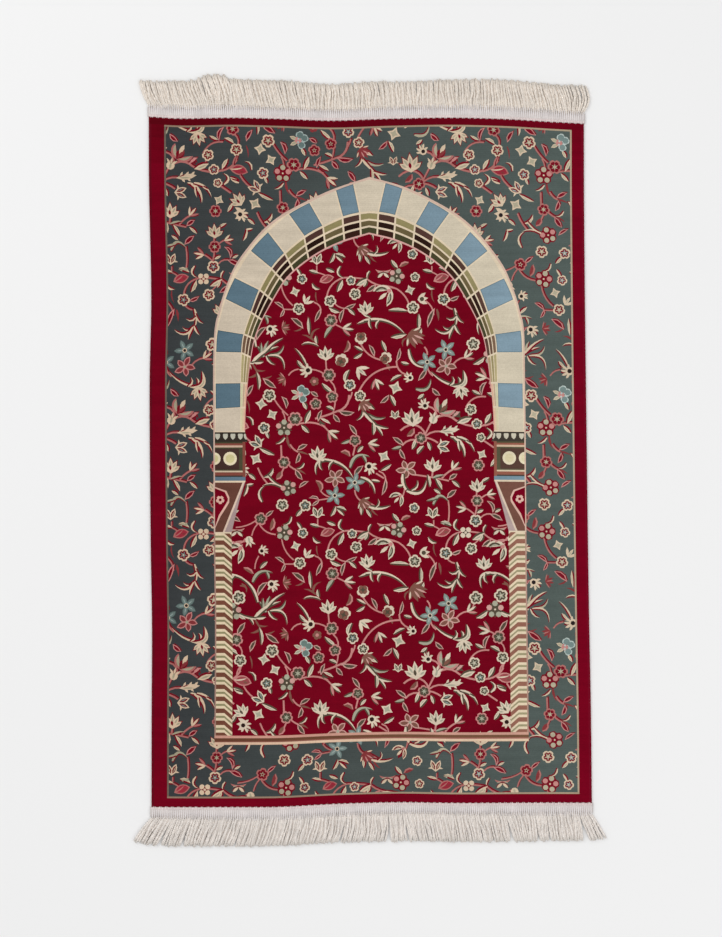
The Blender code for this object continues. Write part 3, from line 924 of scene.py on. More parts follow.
inner_edge = curve(JOINTS, RING_INNER, 0, 13, 52)
field_edge = curve(JOINTS, FIELD_EDGE, 0, 13, 52)
field_outline = both_sides(field_edge + [
    (122.2, 441.6),
    (124.4, 441.7),
    (124.4, 480.6),
    (130.6, 500),
    (134.4, 515),
    (COLUMN_INNER, CORBEL_FOOT - 1),
    (COLUMN_INNER, 630),
    (COLUMN_INNER, COLUMN_FOOT + 0.2),
])
print("areas so far:", len(areas), "- field outline of", len(field_outline), "points")

# %% [markdown]
# ## Arch ring and moulding
# Each block of the ring is a cut-out between two joints, drawn a little short of them so that
# the cream ground shows through as the joint. The blue blocks have a darker edge, where blue and
# dark yarn mix. The moulding's three rows change colour under each block and fade to cream down
# the flanks.

# %% Blocks of the ring
JOINT_GAP = 0.7
FLANK_GAP = 0.3
FLANK_STARTS = 8
BLUE_MARGIN = 0.8
# Half of the block at the point, in joints along the ring's outer, inner and field's edges
POINT_OUTER, POINT_INNER, POINT_FIELD = 0.96, 0.93, 0.91


def curve_length(points):
    """The length of a curve."""
    return sum(math.dist(a, b) for a, b in zip(points, points[1:]))


def block(first, last, near, far, gap):
    """The two long sides of a block between two joints, short of the joints by a gap."""
    sides = []
    for column in (near, far):
        length = curve_length(curve(JOINTS, column, first, last, 4))
        trim = gap / length * (last - first)
        sides.append(curve(JOINTS, column, first + trim, last - trim, 4))
    return sides[0], sides[1]


for joint in range(-1, 13):
    if joint == -1:
        outer = curve(JOINTS, RING_OUTER, 0, POINT_OUTER, 3)
        inner = curve(JOINTS, RING_INNER, 0, POINT_INNER, 3)
        lay(BEIGE, both_sides(outer + inner[::-1]))
    elif joint > 0:
        blue = joint % 2 == 1
        gap = FLANK_GAP if joint >= FLANK_STARTS else JOINT_GAP
        outer, inner = block(joint, joint + 1, RING_OUTER, RING_INNER, gap)
        lay_both(BLUE_EDGE if blue else BEIGE, outer + inner[::-1])
        if blue:
            outer, inner = block(joint, joint + 1, RING_OUTER, RING_INNER, gap + BLUE_MARGIN)
            lay_both(BLUE, between(outer, inner, 0.03) + between(outer, inner, 0.97)[::-1])
print("areas with the ring's blocks:", len(areas))

# %% Rows of the moulding
MOULDING_GAP = 0.9
MOULDING_ROWS = (
    # from share, to share, under a beige block, under a blue block
    (0.09, 0.33, ("#82784f", "#9a9067"), ("#432b27", "#5a4038")),
    (0.41, 0.62, ("#5d5138", "#6f6243"), ("#1e100c", "#33201a")),
    (0.70, 0.93, ("#3b3a24", "#4a4730"), ("#2a1712", "#40261e")),
)
# Down the flanks the moulding fades: joint, and the yarns of its three rows
FLANK_ROWS = {
    9: (("#6d5340", "#7d6350"), ("#5c4335", "#6c5345"), ("#4a3128", "#5c4338")),
    10: (("#a69a6e", "#b2a67c"), ("#8c8058", "#9c9068"), ("#a08d6a", "#b09b78")),
    11: (("#c6c49c", "#cccaa6"), ("#b59c82", "#bda68e"), ("#d8aa8e", "#dcb298")),
    12: (("#c9c39c", "#cfc9a6"), ("#cbb592", "#d0bc9c"), ("#d9ab90", "#dcb298")),
}
PINK_LINE = ("#cf9a94", "#d8aaa2")

for row, (low, high, under_beige, under_blue) in enumerate(MOULDING_ROWS):
    point_inner = curve(JOINTS, RING_INNER, 0, POINT_INNER, 3)
    point_field = curve(JOINTS, FIELD_EDGE, 0, POINT_FIELD, 3)
    top, foot = between(point_inner, point_field, low), between(point_inner, point_field, high)
    lay(under_beige, both_sides(top + foot[::-1]))
    for joint in range(1, 13):
        inner, edge = block(joint, joint + 1, RING_INNER, FIELD_EDGE, MOULDING_GAP)
        paint = under_blue if joint % 2 == 1 else under_beige
        if joint in FLANK_ROWS:
            paint = FLANK_ROWS[joint][row]
        lay_both(paint, between(inner, edge, low) + between(inner, edge, high)[::-1])

pink_edge = between(inner_edge, field_edge, 0.93)
lay_both(PINK_LINE, pink_edge + field_edge[::-1])
print("areas with the arch:", len(areas))

# %% [markdown]
# ## Capitals, corbels, columns and the bar
# Under the ring stand two small capitals, each with a row of pearls and a panel with discs, a
# slanted corbel, a column woven in chevrons, and one bar along the foot of the niche. They are
# plain shapes, so short tables of bands and outlines are enough.

# %% Capitals
CAPITAL_BANDS = (
    # outer distance, inner distance, top, foot, yarns
    (154.9, 122.0, 432.0, 441.6, ("#2f2721", "#443d36")),
    (154.9, 124.4, 441.6, 480.4, ("#7b4038", "#98604f")),
    (154.9, 127.2, 441.6, 443.2, ("#3d3a28", "#55513c")),
    (154.9, 127.2, 445.2, 447.2, ("#c2a28e", "#d3b99d")),
    (154.9, 127.2, 447.2, 470.4, ("#45412e", "#5c5944")),
    (154.9, 130.8, 448.6, 469.2, ("#3c2a27", "#5b4339")),
    (154.9, 127.2, 470.4, 472.0, ("#c9b79d", "#d8c6a8")),
    (154.9, 127.2, 475.2, 476.6, ("#3a332e", "#4d4640")),
    (154.9, 124.4, 476.6, 480.4, ("#536777", "#7d97a4")),
)
PEARL = ("#b3b1a1", "#cfc7b2")
PEARL_PLACES = (152.2, 144.4, 136.9, 129.4, 123.6)
DISC = ("#dccfae", "#e2d7b8")
DISC_CORE = ("#c6bd88", "#dcd0ac")

for outer_half, inner_half, top, foot, paint in CAPITAL_BANDS:
    lay_both(paint, [(outer_half, top), (inner_half, top), (inner_half, foot), (outer_half, foot)])
for half in PEARL_PLACES:
    inner_half = max(half - 2.6, 121.6)
    lay_both(PEARL, [
        (half, 439.6), (inner_half + 0.6, 437.8), (inner_half, 435.4), (inner_half + 0.3, 433.6),
        (half + 2.1, 433.6), (half + 2.4, 435.4), (half + 1.8, 437.8),
    ])
for half, radius, paint in ((139.7, 6.8, DISC), (139.7, 4.4, DISC_CORE), (155.4, 6.2, DISC),
                            (155.4, 3.9, DISC_CORE)):
    lay_both(paint, [(min(h, 154.9), d) for h, d in ring(half, 458.4, radius, 16)])

print("areas with the capitals:", len(areas))

# %% Corbels
CORBEL = ("#5f3a30", "#7a5448")
MAUVE = ("#a18a88", "#b39f9b")
SLANT = ("#d3b8a6", "#dcc8b2")
CARTOUCHE_EDGE = ("#d3a898", "#d9b3a4")
CARTOUCHE = ((155.2, 486.5), (143.6, 490.5), (140.6, 497), (140.8, 502), (145.0, 509), (149.6, 516),
             (155.2, 528))

lay_both(MAUVE, [(154.9, 482.2), (124.4, 482.2), (129.6, 500), (133.4, 515), (COLUMN_INNER, 531.6),
                 (154.9, 531.6)])
lay_both(SLANT, [(127.4, 482.2), (125.4, 482.2), (145.4, 531.6), (147.4, 531.6)])
lay_both(CORBEL, [(154.9, 482.2), (127.4, 482.2), (147.4, 531.6), (154.9, 531.6)])
lay_both(CARTOUCHE_EDGE, CARTOUCHE)
lay_both(CRIMSON, [(min(h + 1.5, 155.2), d + (1.3 if d < 500 else -1.6)) for h, d in CARTOUCHE])
lay_both(CARTOUCHE_EDGE, scallop(149.8, 499.5, 4.2, 5, 0.75, 90))
lay_both(CRIMSON, ring(149.8, 499.5, 1.6, 6))

print("areas with the corbels:", len(areas))

# %% Columns and bar
CHEVRON_STEP = 11.97
CHEVRON_BROWN = ("#663a2b", "#9a6a5a")
CHEVRON_CREAM = ("#d9c6a6", "#e0cfb2")
CHEVRON_OLIVE = ("#87815f", "#a09878")
CHEVRON_TURN = 146.6
CHEVRON_DROP = 7.0
COLUMN_LINE = ("#9a7a6e", "#b59384")


def chevron(top, thick):
    """Outline of one band that runs level from the column's outer side, then slants down."""
    return [
        (COLUMN_OUTER, top), (CHEVRON_TURN, top), (COLUMN_INNER, top + CHEVRON_DROP),
        (COLUMN_INNER, top + CHEVRON_DROP + thick), (CHEVRON_TURN, top + thick),
        (COLUMN_OUTER, top + thick),
    ]


def cut_level(outline, level, side):
    """The part of an outline below a level (side 1) or above it (side -1)."""
    kept = []
    for (h0, d0), (h1, d1) in zip(outline, outline[1:] + outline[:1]):
        if (d0 - level) * side >= 0:
            kept.append((h0, d0))
        if (d0 - level) * (d1 - level) < 0:
            kept.append((h0 + (h1 - h0) * (level - d0) / (d1 - d0), level))
    return kept


lay_both(COLUMN_LINE, [(NICHE_HALF, CORBEL_FOOT), (COLUMN_INNER, CORBEL_FOOT),
                       (COLUMN_INNER, COLUMN_FOOT), (NICHE_HALF, COLUMN_FOOT)])
lay_both(CHEVRON_BROWN, [(COLUMN_OUTER, CORBEL_FOOT), (COLUMN_INNER, CORBEL_FOOT),
                         (COLUMN_INNER, COLUMN_FOOT), (COLUMN_OUTER, COLUMN_FOOT)])
for count in range(-1, 18):
    level = CORBEL_FOOT - 0.6 + CHEVRON_STEP * count
    for offset, thick, paint in ((0.0, 7.4, CHEVRON_CREAM), (2.6, 2.2, CHEVRON_OLIVE)):
        outline = cut_level(chevron(level + offset, thick), CORBEL_FOOT, 1)
        outline = cut_level(outline, COLUMN_FOOT, -1)
        if len(outline) > 2:
            lay_both(paint, outline)

BAR_ROWS = (
    # top, foot, yarns
    (COLUMN_FOOT, 737.0, ("#c08c7c", "#cda08e")),
    (737.0, 739.8, ("#5c3425", "#7d5a44")),
    (739.8, 741.0, ("#6a4030", "#b0756a")),
    (741.0, BAR_FOOT, ("#cfab92", "#e6cbae")),
)
for top, foot, paint in BAR_ROWS:
    lay(paint, both_sides([(0, top), (NICHE_HALF / 2, top), (NICHE_HALF, top),
                           (NICHE_HALF, foot), (NICHE_HALF / 2, foot), (0, foot)]))

lay("field", field_outline)
print("areas in all:", len(areas))

# %% [markdown]
# ## Laying the repeat over the whole cloth
# The loom repeats the vine in straight rows and columns, and the border's vine runs on from the
# field's without a break. The chart was read from a rug lying a little turned, so it is turned
# back first. A mark is kept only where some of it would show. In the border the stems, the
# outlined leaves and some flowers lie on a crimson partner, a halo. In the crimson field it
# would not show, so it is left out there.

# %% Marks of every repeat
REPEAT_ACROSS = 262.3
REPEAT_DOWN = 254.7
CHART_MIDDLE = (371.0, 607.0)
CHART_STEP = (-0.8, 1.5)
CHART_TURN = 0.0107
HALO_STEP = (1.1, -1.1)


def square_up(x, y):
    """A point of the chart, turned and moved to lie square on the loom."""
    off_x, off_y = x - CHART_MIDDLE[0], y - CHART_MIDDLE[1]
    return x + CHART_STEP[0] - CHART_TURN * off_y, y + CHART_STEP[1] + CHART_TURN * off_x


def holds(outline, x, y):
    """True where a point lies inside an outline."""
    inside = False
    for (x0, y0), (x1, y1) in zip(outline, outline[1:] + outline[:1]):
        if (y0 > y) != (y1 > y) and x < x0 + (x1 - x0) * (y - y0) / (y1 - y0):
            inside = not inside
    return inside


def ground_at(x, y):
    """Which vine ground shows at a point: the field's, the border's or none."""
    if holds(field_outline, x, y):
        return "field"
    if holds(niche_outline, x, y) or not holds(border_outline, x, y):
        return None
    return "border"


def marks_of_repeat():
    """Every outline of one repeat in weaving order, with its yarn."""
    halo_x, halo_y = HALO_STEP
    strokes = dict(STROKES)
    for kind in ("stem", "leaf"):
        strokes["halo " + kind] = [(x0 + halo_x, y0 + halo_y, x1 + halo_x, y1 + halo_y, bulge, width)
                                   for x0, y0, x1, y1, bulge, width in STROKES[kind]]
    marks = [part(*row) for kind, parts in HALOS.items() for row in BLOOMS[kind] for part in parts]
    marks += [part(*row) for kind, parts in STROKE_BANDS.items() for row in strokes[kind]
              for part in parts]
    marks += [part(*row) for kind, rows in BLOOMS.items() for row in rows for part in FLOWERS[kind]]
    return [(mark[0], [square_up(x, y) for x, y in mark[1]]) for mark in marks if mark]


repeat_marks = marks_of_repeat()
marks = []
for row in range(-2, 2):
    for column in range(-1, 2):
        step_x, step_y = column * REPEAT_ACROSS, row * REPEAT_DOWN
        for yarn, outline in repeat_marks:
            moved = [(x + step_x, y + step_y) for x, y in outline]
            if not any(CLOTH_LEFT < x < CLOTH_RIGHT and CLOTH_HEAD < y < CLOTH_FOOT for x, y in moved):
                continue
            grounds = {ground_at(x, y) for x, y in moved}
            if grounds & {"border"} or (grounds & {"field"} and yarn != "halo"):
                marks.append((yarn, moved))
print("marks in a repeat:", len(repeat_marks), "- marks on the cloth:", len(marks))

# %% [markdown]
# ## Cutting the design into the face of the cloth
# All outlines are merged into one flat net of triangles, in which every edge of the design is an
# edge of the mesh. Blender's constrained Delaunay triangulation does this and reports which
# outlines each triangle lies in. The last one laid gives its yarn. A painted image would blur at
# this size, and a shader that tested thousands of petals would be slow.

# %% Merging outlines into triangles
NET_STEP = 11
SNAP = 0.02


def anticlockwise(outline):
    """The same outline, turned to run anticlockwise with y up."""
    turned = [(x, -y) for x, y in outline]
    twice_area = sum(a[0] * b[1] - b[0] * a[1] for a, b in zip(turned, turned[1:] + turned[:1]))
    return turned if twice_area > 0 else turned[::-1]


def cut_net(outlines, loose_points=()):
    """Merge outlines into triangles: points, triangles and the outlines that hold each."""
    points, loops = [], []
    for outline in outlines:
        start = len(points)
        points += anticlockwise(outline)
        loops.append(list(range(start, len(points))))
    points += [(x, -y) for x, y in loose_points]
    net = delaunay_2d_cdt(points, [], loops, 1, SNAP, True)
    return [(v.x, -v.y) for v in net[0]], net[2], net[5]


print("triangles of one square:", len(cut_net([[(0, 0), (4, 0), (4, 4), (0, 4)]])[1]))

# %% The net of the whole face
inner_points = []
for i in range(1, int((CLOTH_RIGHT - CLOTH_LEFT) / NET_STEP)):
    for j in range(1, int((CLOTH_FOOT - CLOTH_HEAD) / NET_STEP)):
        shift = NET_STEP / 4 if j % 2 else -NET_STEP / 4
        inner_points.append((CLOTH_LEFT + i * NET_STEP + shift, CLOTH_HEAD + j * NET_STEP))

outlines = [outline for paint, outline in areas] + [outline for yarn, outline in marks]
net_points, net_triangles, held_by = cut_net(outlines, inner_points)
print("outline points:", sum(map(len, outlines)), "- net points:", len(net_points),
      "- triangles:", len(net_triangles))

# %% The yarn of each triangle
# The net sometimes says that a very thin outline holds everything, so each is kept to its box
boxes = []
for outline in outlines:
    across, down = zip(*outline)
    boxes.append((min(across), min(down), max(across), max(down)))

face_triangles, face_yarns = [], []
for triangle, holders in zip(net_triangles, held_by):
    middle_x = sum(net_points[i][0] for i in triangle) / 3
    middle_y = sum(net_points[i][1] for i in triangle) / 3
    over = [h for h in holders
            if boxes[h][0] < middle_x < boxes[h][2] and boxes[h][1] < middle_y < boxes[h][3]]
    if 0 not in over:
        continue
    paint = areas[max(h for h in over if h < len(areas))][0]
    if paint in ("field", "border"):
        yarns = FIELD if paint == "field" else BORDER
        top_mark = max(over)
        yarn = marks[top_mark - len(areas)][0] if top_mark >= len(areas) else "ground"
        paint = yarns[yarn]
    face_triangles.append(tuple(triangle))
    face_yarns.append(paint)
print("triangles on the face:", len(face_triangles))

# %% [markdown]
# ## The cloth as one closed sheet
# The rug is a sheet 3 mm thick, so its face, its rounded edge and its plain back are one mesh.
# The edge is a few rings of points, each lower than the last. The cloth isn't ironed flat: folds
# from its packing still stand as soft low ridges, which lift face and back alike.

# %% Soft creases
CREASES = (
    # from x, from y, to x, to y, half width in squares, height mm
    (373, 118, 371, 470, 7.0, 0.55),
    (371, 470, 375, 806, 8.0, 0.40),
    (151, 461, 588, 463, 7.0, 0.30),
    (196, 574, 226, 577, 3.0, 0.50),
    (430, 640, 520, 620, 9.0, 0.35),
    (170, 300, 205, 190, 9.0, 0.35),
    (540, 700, 585, 560, 9.0, 0.35),
)
WAVE_HEIGHT = 0.12 * MM


def lift(x, y):
    """How far the cloth stands off the floor at a square, in metres."""
    height = WAVE_HEIGHT * (2 + math.sin(x / 23 + y / 61) + math.sin(y / 19 - x / 83)) / 2
    for x0, y0, x1, y1, half_width, rise in CREASES:
        run_x, run_y = x1 - x0, y1 - y0
        length = math.hypot(run_x, run_y)
        along = ((x - x0) * run_x + (y - y0) * run_y) / length ** 2
        aside = ((x - x0) * run_y - (y - y0) * run_x) / length
        past = max(0.0, -along, along - 1) * length
        height += rise * MM * math.exp(-(aside ** 2 + past ** 2) / half_width ** 2)
    return height


peak = max(lift(x, y) for x in range(151, 589, 4) for y in range(118, 806, 4))
print("the cloth stands off the floor by up to", round(peak / MM, 2), "mm")

# %% Walking along the face's edge, and moving out from it
EDGE_ROWS = (
    # inset from the true edge, height above the back: both in mm
    (0.5, 2.7),
    (0.0, 2.0),
    (0.0, 0.9),
    (0.4, 0.0),
)


def edge_walk(triangles):
    """The closed walk along edges that only one triangle uses."""
    used = set()
    for a, b, c in triangles:
        used.update(((a, b), (b, c), (c, a)))
    after = {start: stop for start, stop in used if (stop, start) not in used}
    start = next(iter(after))
    walk = [start]
    while after[walk[-1]] != start:
        walk.append(after[walk[-1]])
    return walk


def to_edge(x, y, inset):
    """A point on the face's own edge, moved out to an inset in mm from the true edge."""
    inset = inset * MM / SQUARE
    if x < CLOTH_LEFT + RIM_INSET + 0.1:
        x = CLOTH_LEFT + inset
    if x > CLOTH_RIGHT - RIM_INSET - 0.1:
        x = CLOTH_RIGHT - inset
    if y < CLOTH_HEAD + RIM_INSET + 0.1:
        y = CLOTH_HEAD + inset
    if y > CLOTH_FOOT - RIM_INSET - 0.1:
        y = CLOTH_FOOT - inset
    return x, y


print("edge of a pair of triangles:", edge_walk([(0, 1, 2), (0, 2, 3)]))

# %% The face and its rounded edge
squares = []
heights = []
numbering = {}
for triangle in face_triangles:
    for index in triangle:
        if index not in numbering:
            numbering[index] = len(squares)
            squares.append(net_points[index])
            heights.append(CLOTH_THICK)
faces = [tuple(numbering[i] for i in triangle) for triangle in face_triangles]
paints = list(face_yarns)

walk = edge_walk(faces)
ring_before = walk
for inset, height in EDGE_ROWS:
    ring_now = []
    for index in walk:
        ring_now.append(len(squares))
        squares.append(to_edge(*squares[index], inset))
        heights.append(height * MM)
    for i in range(len(walk)):
        j = (i + 1) % len(walk)
        faces.append((ring_before[j], ring_before[i], ring_now[i], ring_now[j]))
        paints.append(CRIMSON)
    ring_before = ring_now

print("edge points:", len(walk), "- points so far:", len(squares))

# %% The back: the same outline filled with a coarse net, facing down
BACK = ("#6f4a45", "#6f4a45")
BACK_STEP = 26

back_points = [
    (CLOTH_LEFT + i * BACK_STEP, CLOTH_HEAD + j * BACK_STEP)
    for i in range(1, int((CLOTH_RIGHT - CLOTH_LEFT) / BACK_STEP) + 1)
    for j in range(1, int((CLOTH_FOOT - CLOTH_HEAD) / BACK_STEP) + 1)
]
edge_outline = [(squares[i][0], -squares[i][1]) for i in ring_before]
back_net = delaunay_2d_cdt(edge_outline + [(x, -y) for x, y in back_points], [],
                           [list(range(len(edge_outline)))], 1, 1e-5, True)
back_numbers = []
for spot, sources in zip(back_net[0], back_net[3]):
    if sources and sources[0] < len(ring_before):
        back_numbers.append(ring_before[sources[0]])
    else:
        back_numbers.append(len(squares))
        squares.append((spot.x, -spot.y))
        heights.append(0.0)
first_back = len(faces)
for a, b, c in back_net[2]:
    faces.append((back_numbers[c], back_numbers[b], back_numbers[a]))
    paints.append(BACK)
print("triangles on the back:", len(faces) - first_back)

# %% The cloth's mesh
def link_piece(name, content):
    """Put a mesh, a light or a camera into the scene as an object at the origin."""
    piece = bpy.data.objects.new(name, content)
    bpy.context.scene.collection.objects.link(piece)
    return piece


def add_piece(name, points, faces):
    """A smooth mesh object at the origin."""
    mesh = bpy.data.meshes.new(name)
    mesh.from_pydata(points, [], faces)
    mesh.polygons.foreach_set("use_smooth", [True] * len(faces))
    return link_piece(name, mesh)


rug = add_piece(
    "rug_cloth_woven",
    [(*place(x, y), height + lift(x, y)) for (x, y), height in zip(squares, heights)], faces)
mesh = rug.data
print("cloth:", len(mesh.vertices), "points,", len(mesh.polygons), "faces, checked:",
      not mesh.validate())

# %% [markdown]
# ## Yarn colours, painted sheen and a map of the cloth on the mesh
# Each corner of each triangle keeps its yarn's colour, so a colour can change sharply at an edge
# and still fade softly across the cloth, from its left colour to its lighter right one, which is
# painted sheen. The cloth is also laid out flat in a UV map, the face in one strip and the plain
# back in another, so that the design can be baked finely when exported.

# %% Colour and layout for every corner
FACE_STRIP = (0.01, 0.73)
BACK_STRIP = (0.76, 0.99)
EDGE_SPREAD = 1.2

yarn_colours = {}
colours, layout = [], []
rows_out = {}
for row, (inset, height) in enumerate(EDGE_ROWS):
    for index in range(len(numbering) + row * len(walk), len(numbering) + (row + 1) * len(walk)):
        rows_out[index] = EDGE_SPREAD * (row + 1)
for number, polygon in enumerate(mesh.polygons):
    paint = paints[number]
    if paint not in yarn_colours:
        yarn_colours[paint] = [linear(colour) for colour in paint]
    left_yarn, right_yarn = yarn_colours[paint]
    low, high = BACK_STRIP if number >= first_back else FACE_STRIP
    for index in polygon.vertices:
        x, y = squares[index]
        # Painted sheen: each yarn goes from its left colour to its right one across the cloth
        share = (x - CLOTH_LEFT) / (CLOTH_RIGHT - CLOTH_LEFT)
        colours += [a + (b - a) * share for a, b in zip(left_yarn, right_yarn)] + [1.0]
        if index in rows_out and number < first_back:
            x, y = to_edge(x, y, -rows_out[index])
        share = (x - CLOTH_LEFT) / (CLOTH_RIGHT - CLOTH_LEFT)
        along = (y - CLOTH_HEAD) / (CLOTH_FOOT - CLOTH_HEAD)
        layout += [0.01 + 0.98 * along, low + (high - low) * share]
mesh.color_attributes.new("yarn", "FLOAT_COLOR", "CORNER").data.foreach_set("color", colours)
mesh.uv_layers.new(name="OFBake").uv.foreach_set("vector", layout)
print("corners coloured:", len(colours) // 4, "- yarn shades:", len(yarn_colours))

# %% [markdown]
# ## Woven pile, as a material
# The pile is short dyed polypropylene or wool, jacquard woven and matt: it scatters light, so it
# is rough, with a little sheen at grazing angles. Two things give it away as cloth. The rows of
# weft show as faint ribs across the rug, and each yarn lot is a little uneven, so large areas are
# never one flat colour. A wave draws the ribs and noise draws the rest, in object space, whose
# unit is the metre. The colour itself comes from the `yarn` attribute on the mesh.

# %% One helper for every node
def add_node(tree, kind, feeds=None, **settings):
    """Add a node with its settings, and feed its sockets with values or other sockets."""
    node = tree.nodes.new(kind)
    for name, value in settings.items():
        setattr(node, name, value)
    for socket, source in (feeds or {}).items():
        if isinstance(source, bpy.types.NodeSocket):
            tree.links.new(source, node.inputs[socket])
        else:
            node.inputs[socket].default_value = source
    return node


def new_material(name, roughness, shine, sheen, colour):
    """A matt dielectric material: its tree and its shader."""
    material = bpy.data.materials.new(name)
    material.use_nodes = True
    shader = material.node_tree.nodes["Principled BSDF"]
    shader.inputs["Base Color"].default_value = (*linear(colour), 1)
    shader.inputs["Roughness"].default_value = roughness
    shader.inputs["Sheen Weight"].default_value = sheen
    shader.inputs["Sheen Roughness"].default_value = 0.5
    shader.inputs["Specular IOR Level"].default_value = shine
    return material, material.node_tree, shader


# %% Woven pile
# The real weft rows lie about 1 mm apart, too fine to show here, so they are drawn 3.2 mm apart
WEFT_PITCH = 3.2 * MM
TUFT_SIZE = 2.2 * MM
LOT_BAND = 45 * MM


def brighten(tree, colour, source, low, high):
    """Multiply a colour by a brightness that follows a 0 to 1 source."""
    gain = add_node(tree, "ShaderNodeMapRange", {
        "Value": source, "From Min": 0.3, "From Max": 0.7, "To Min": low, "To Max": high})
    scale = add_node(tree, "ShaderNodeVectorMath", {0: colour, "Scale": gain.outputs["Result"]},
                     operation="SCALE")
    return scale.outputs["Vector"]


woven, tree, shader = new_material("woven_pile_jacquard_matt", 0.95, 0.02, 0.01, "#70041a")
place_node = add_node(tree, "ShaderNodeTexCoord")
yarn_node = add_node(tree, "ShaderNodeAttribute", attribute_name="yarn")
tufts = add_node(tree, "ShaderNodeTexNoise", {
    "Vector": place_node.outputs["Object"], "Scale": 1 / TUFT_SIZE, "Detail": 2.0, "Roughness": 0.6})
stretched = add_node(tree, "ShaderNodeMapping", {
    "Vector": place_node.outputs["Object"], "Scale": (0.12, 1.0, 1.0)})
streaks = add_node(tree, "ShaderNodeTexNoise", {
    "Vector": stretched.outputs["Vector"], "Scale": 1 / (3 * WEFT_PITCH), "Detail": 3.0})
lots = add_node(tree, "ShaderNodeTexNoise", {
    "Vector": place_node.outputs["Object"], "Scale": 1 / LOT_BAND, "Detail": 2.0})
weft = add_node(tree, "ShaderNodeTexWave", {
    "Vector": place_node.outputs["Object"], "Scale": 1 / WEFT_PITCH / 20 * 2 * math.pi,
    "Distortion": 0.6, "Detail": 1.0, "Detail Scale": 1.5},
    wave_type="BANDS", bands_direction="Y")

colour = yarn_node.outputs["Color"]
for source, low, high in ((tufts, 0.93, 1.07), (streaks, 0.93, 1.07), (lots, 0.96, 1.04),
                          (weft, 0.97, 1.02)):
    colour = brighten(tree, colour, source.outputs["Fac"], low, high)
tree.links.new(colour, shader.inputs["Base Color"])
pile_height = add_node(tree, "ShaderNodeMath", {
    0: tufts.outputs["Fac"], 1: weft.outputs["Fac"]}, operation="ADD")
relief = add_node(tree, "ShaderNodeBump", {
    "Height": pile_height.outputs["Value"], "Strength": 0.35, "Distance": 0.25 * MM})
tree.links.new(relief.outputs["Normal"], shader.inputs["Normal"])
rug.data.materials.append(woven)
print("pile: weft every", WEFT_PITCH * 1000, "mm")

# %% [markdown]
# ## Where the fringe trims lie
# A fringe trim is bought by the metre: a narrow white tape with cream cotton cords looped through
# it. One is sewn to each end of the cloth. The tape follows the cloth's bowed end, and each cord
# lies where its neighbours and the last shake of the rug left it. The tables below say how the
# cords lean across each end, so the lie is uneven in the way the real one is.

# %% Trim sizes and the lie of the cords
SEAM_GAP = 0.3 * MM
HEADING_DEPTH = 15.5 * MM
STRANDS_PER_END = 128
SWAY_RIPPLE = 0.9 * MM
SWAY_TURN = 0.55
BUNCH_TURN = 0.21
LENGTH_RIPPLE = 0.6 * MM
LENGTH_TURN = 2.7
HEAD_END, FOOT_END = 1, -1

HEAD_SWAY = (
    # share from the left, lean mm, bow mm, length mm
    (0.00, -17.0, -3.0, 45.0),
    (0.06, -15.0, -1.0, 46.0),
    (0.13, -15.0, 0.0, 48.0),
    (0.15, -14.0, 2.0, 54.0),
    (0.19, -13.0, 3.0, 54.0),
    (0.205, -13.0, 0.0, 48.0),
    (0.32, -11.0, 0.0, 47.0),
    (0.42, -1.0, 1.0, 42.0),
    (0.50, -6.0, 1.5, 44.0),
    (0.62, -1.0, 0.0, 43.0),
    (0.70, -5.0, -1.0, 45.0),
    (0.77, -2.0, 1.0, 46.5),
    (0.89, -10.0, 0.0, 47.0),
    (0.96, -11.5, 2.0, 46.0),
    (1.00, 6.0, 9.0, 45.0),
)
FOOT_SWAY = (
    # share from the left, lean mm, bow mm, length mm
    (0.00, -31.0, -2.0, 49.0),
    (0.03, -26.0, -1.0, 51.0),
    (0.09, -17.0, 0.0, 49.0),
    (0.20, -16.5, 1.0, 49.0),
    (0.32, -12.5, 1.0, 48.0),
    (0.42, -9.5, 2.0, 47.0),
    (0.52, -3.0, 2.0, 46.0),
    (0.58, 9.0, 0.0, 47.0),
    (0.68, 8.5, 0.0, 46.5),
    (0.76, 10.0, 0.0, 47.0),
    (0.82, 12.0, 1.0, 47.0),
    (0.90, 5.5, 0.0, 45.0),
    (0.97, 12.0, 0.0, 46.0),
    (1.00, 27.0, 1.0, 48.0),
)
# Shares from the left where the cords have parted, and how far they part at the tips
HEAD_PARTINGS = ((0.045, 1.2), (0.20, 1.6), (0.345, 1.2), (0.475, 1.3), (0.66, 1.1), (0.865, 1.4))
FOOT_PARTINGS = ((0.048, 3.2), (0.093, 3.0), (0.21, 1.2), (0.33, 1.0), (0.44, 1.2), (0.537, 3.8),
                 (0.572, 2.8), (0.69, 1.0), (0.803, 4.2), (0.868, 2.4), (0.897, 2.4), (0.97, 5.0))
PARTING_REACH = 0.014
print("partings at the head and the foot:", len(HEAD_PARTINGS), len(FOOT_PARTINGS))

# %% Where a point of a cord lies
def along_end(end, across, out):
    """A point that far out from one end of the cloth, at a share from its left."""
    down = 0.0 if end == HEAD_END else 1.0
    return cloth_x(across, down), cloth_y(across, down) + end * out


def strand_point(number, sway, partings, end, share):
    """A cord's middle in plan at a share of its length. Its number may be a fraction."""
    across = (number + 0.5) / STRANDS_PER_END
    start_x, start_y = along_end(end, across, SEAM_GAP + HEADING_DEPTH)
    ripple = math.sin(SWAY_TURN * number) * math.cos(BUNCH_TURN * number + 1)
    lean = read_off(sway, across, 1) * MM + SWAY_RIPPLE * ripple
    bow = read_off(sway, across, 2) * MM
    length = read_off(sway, across, 3) * MM + LENGTH_RIPPLE * math.sin(LENGTH_TURN * number)
    reach = math.sqrt(length ** 2 - lean ** 2)
    part = 0.0
    for place_share, width in partings:
        off = (across - place_share) / PARTING_REACH
        part += width * MM * math.copysign(1, off) * math.exp(-off * off)
    x = start_x + lean * share + bow * math.sin(math.pi * max(share, 0)) + part * max(share, 0) ** 1.5
    return x, start_y + end * reach * share


print("cords an end:", STRANDS_PER_END, "- pitch",
      round(CLOTH_WIDTH / STRANDS_PER_END * 1000, 1), "mm")

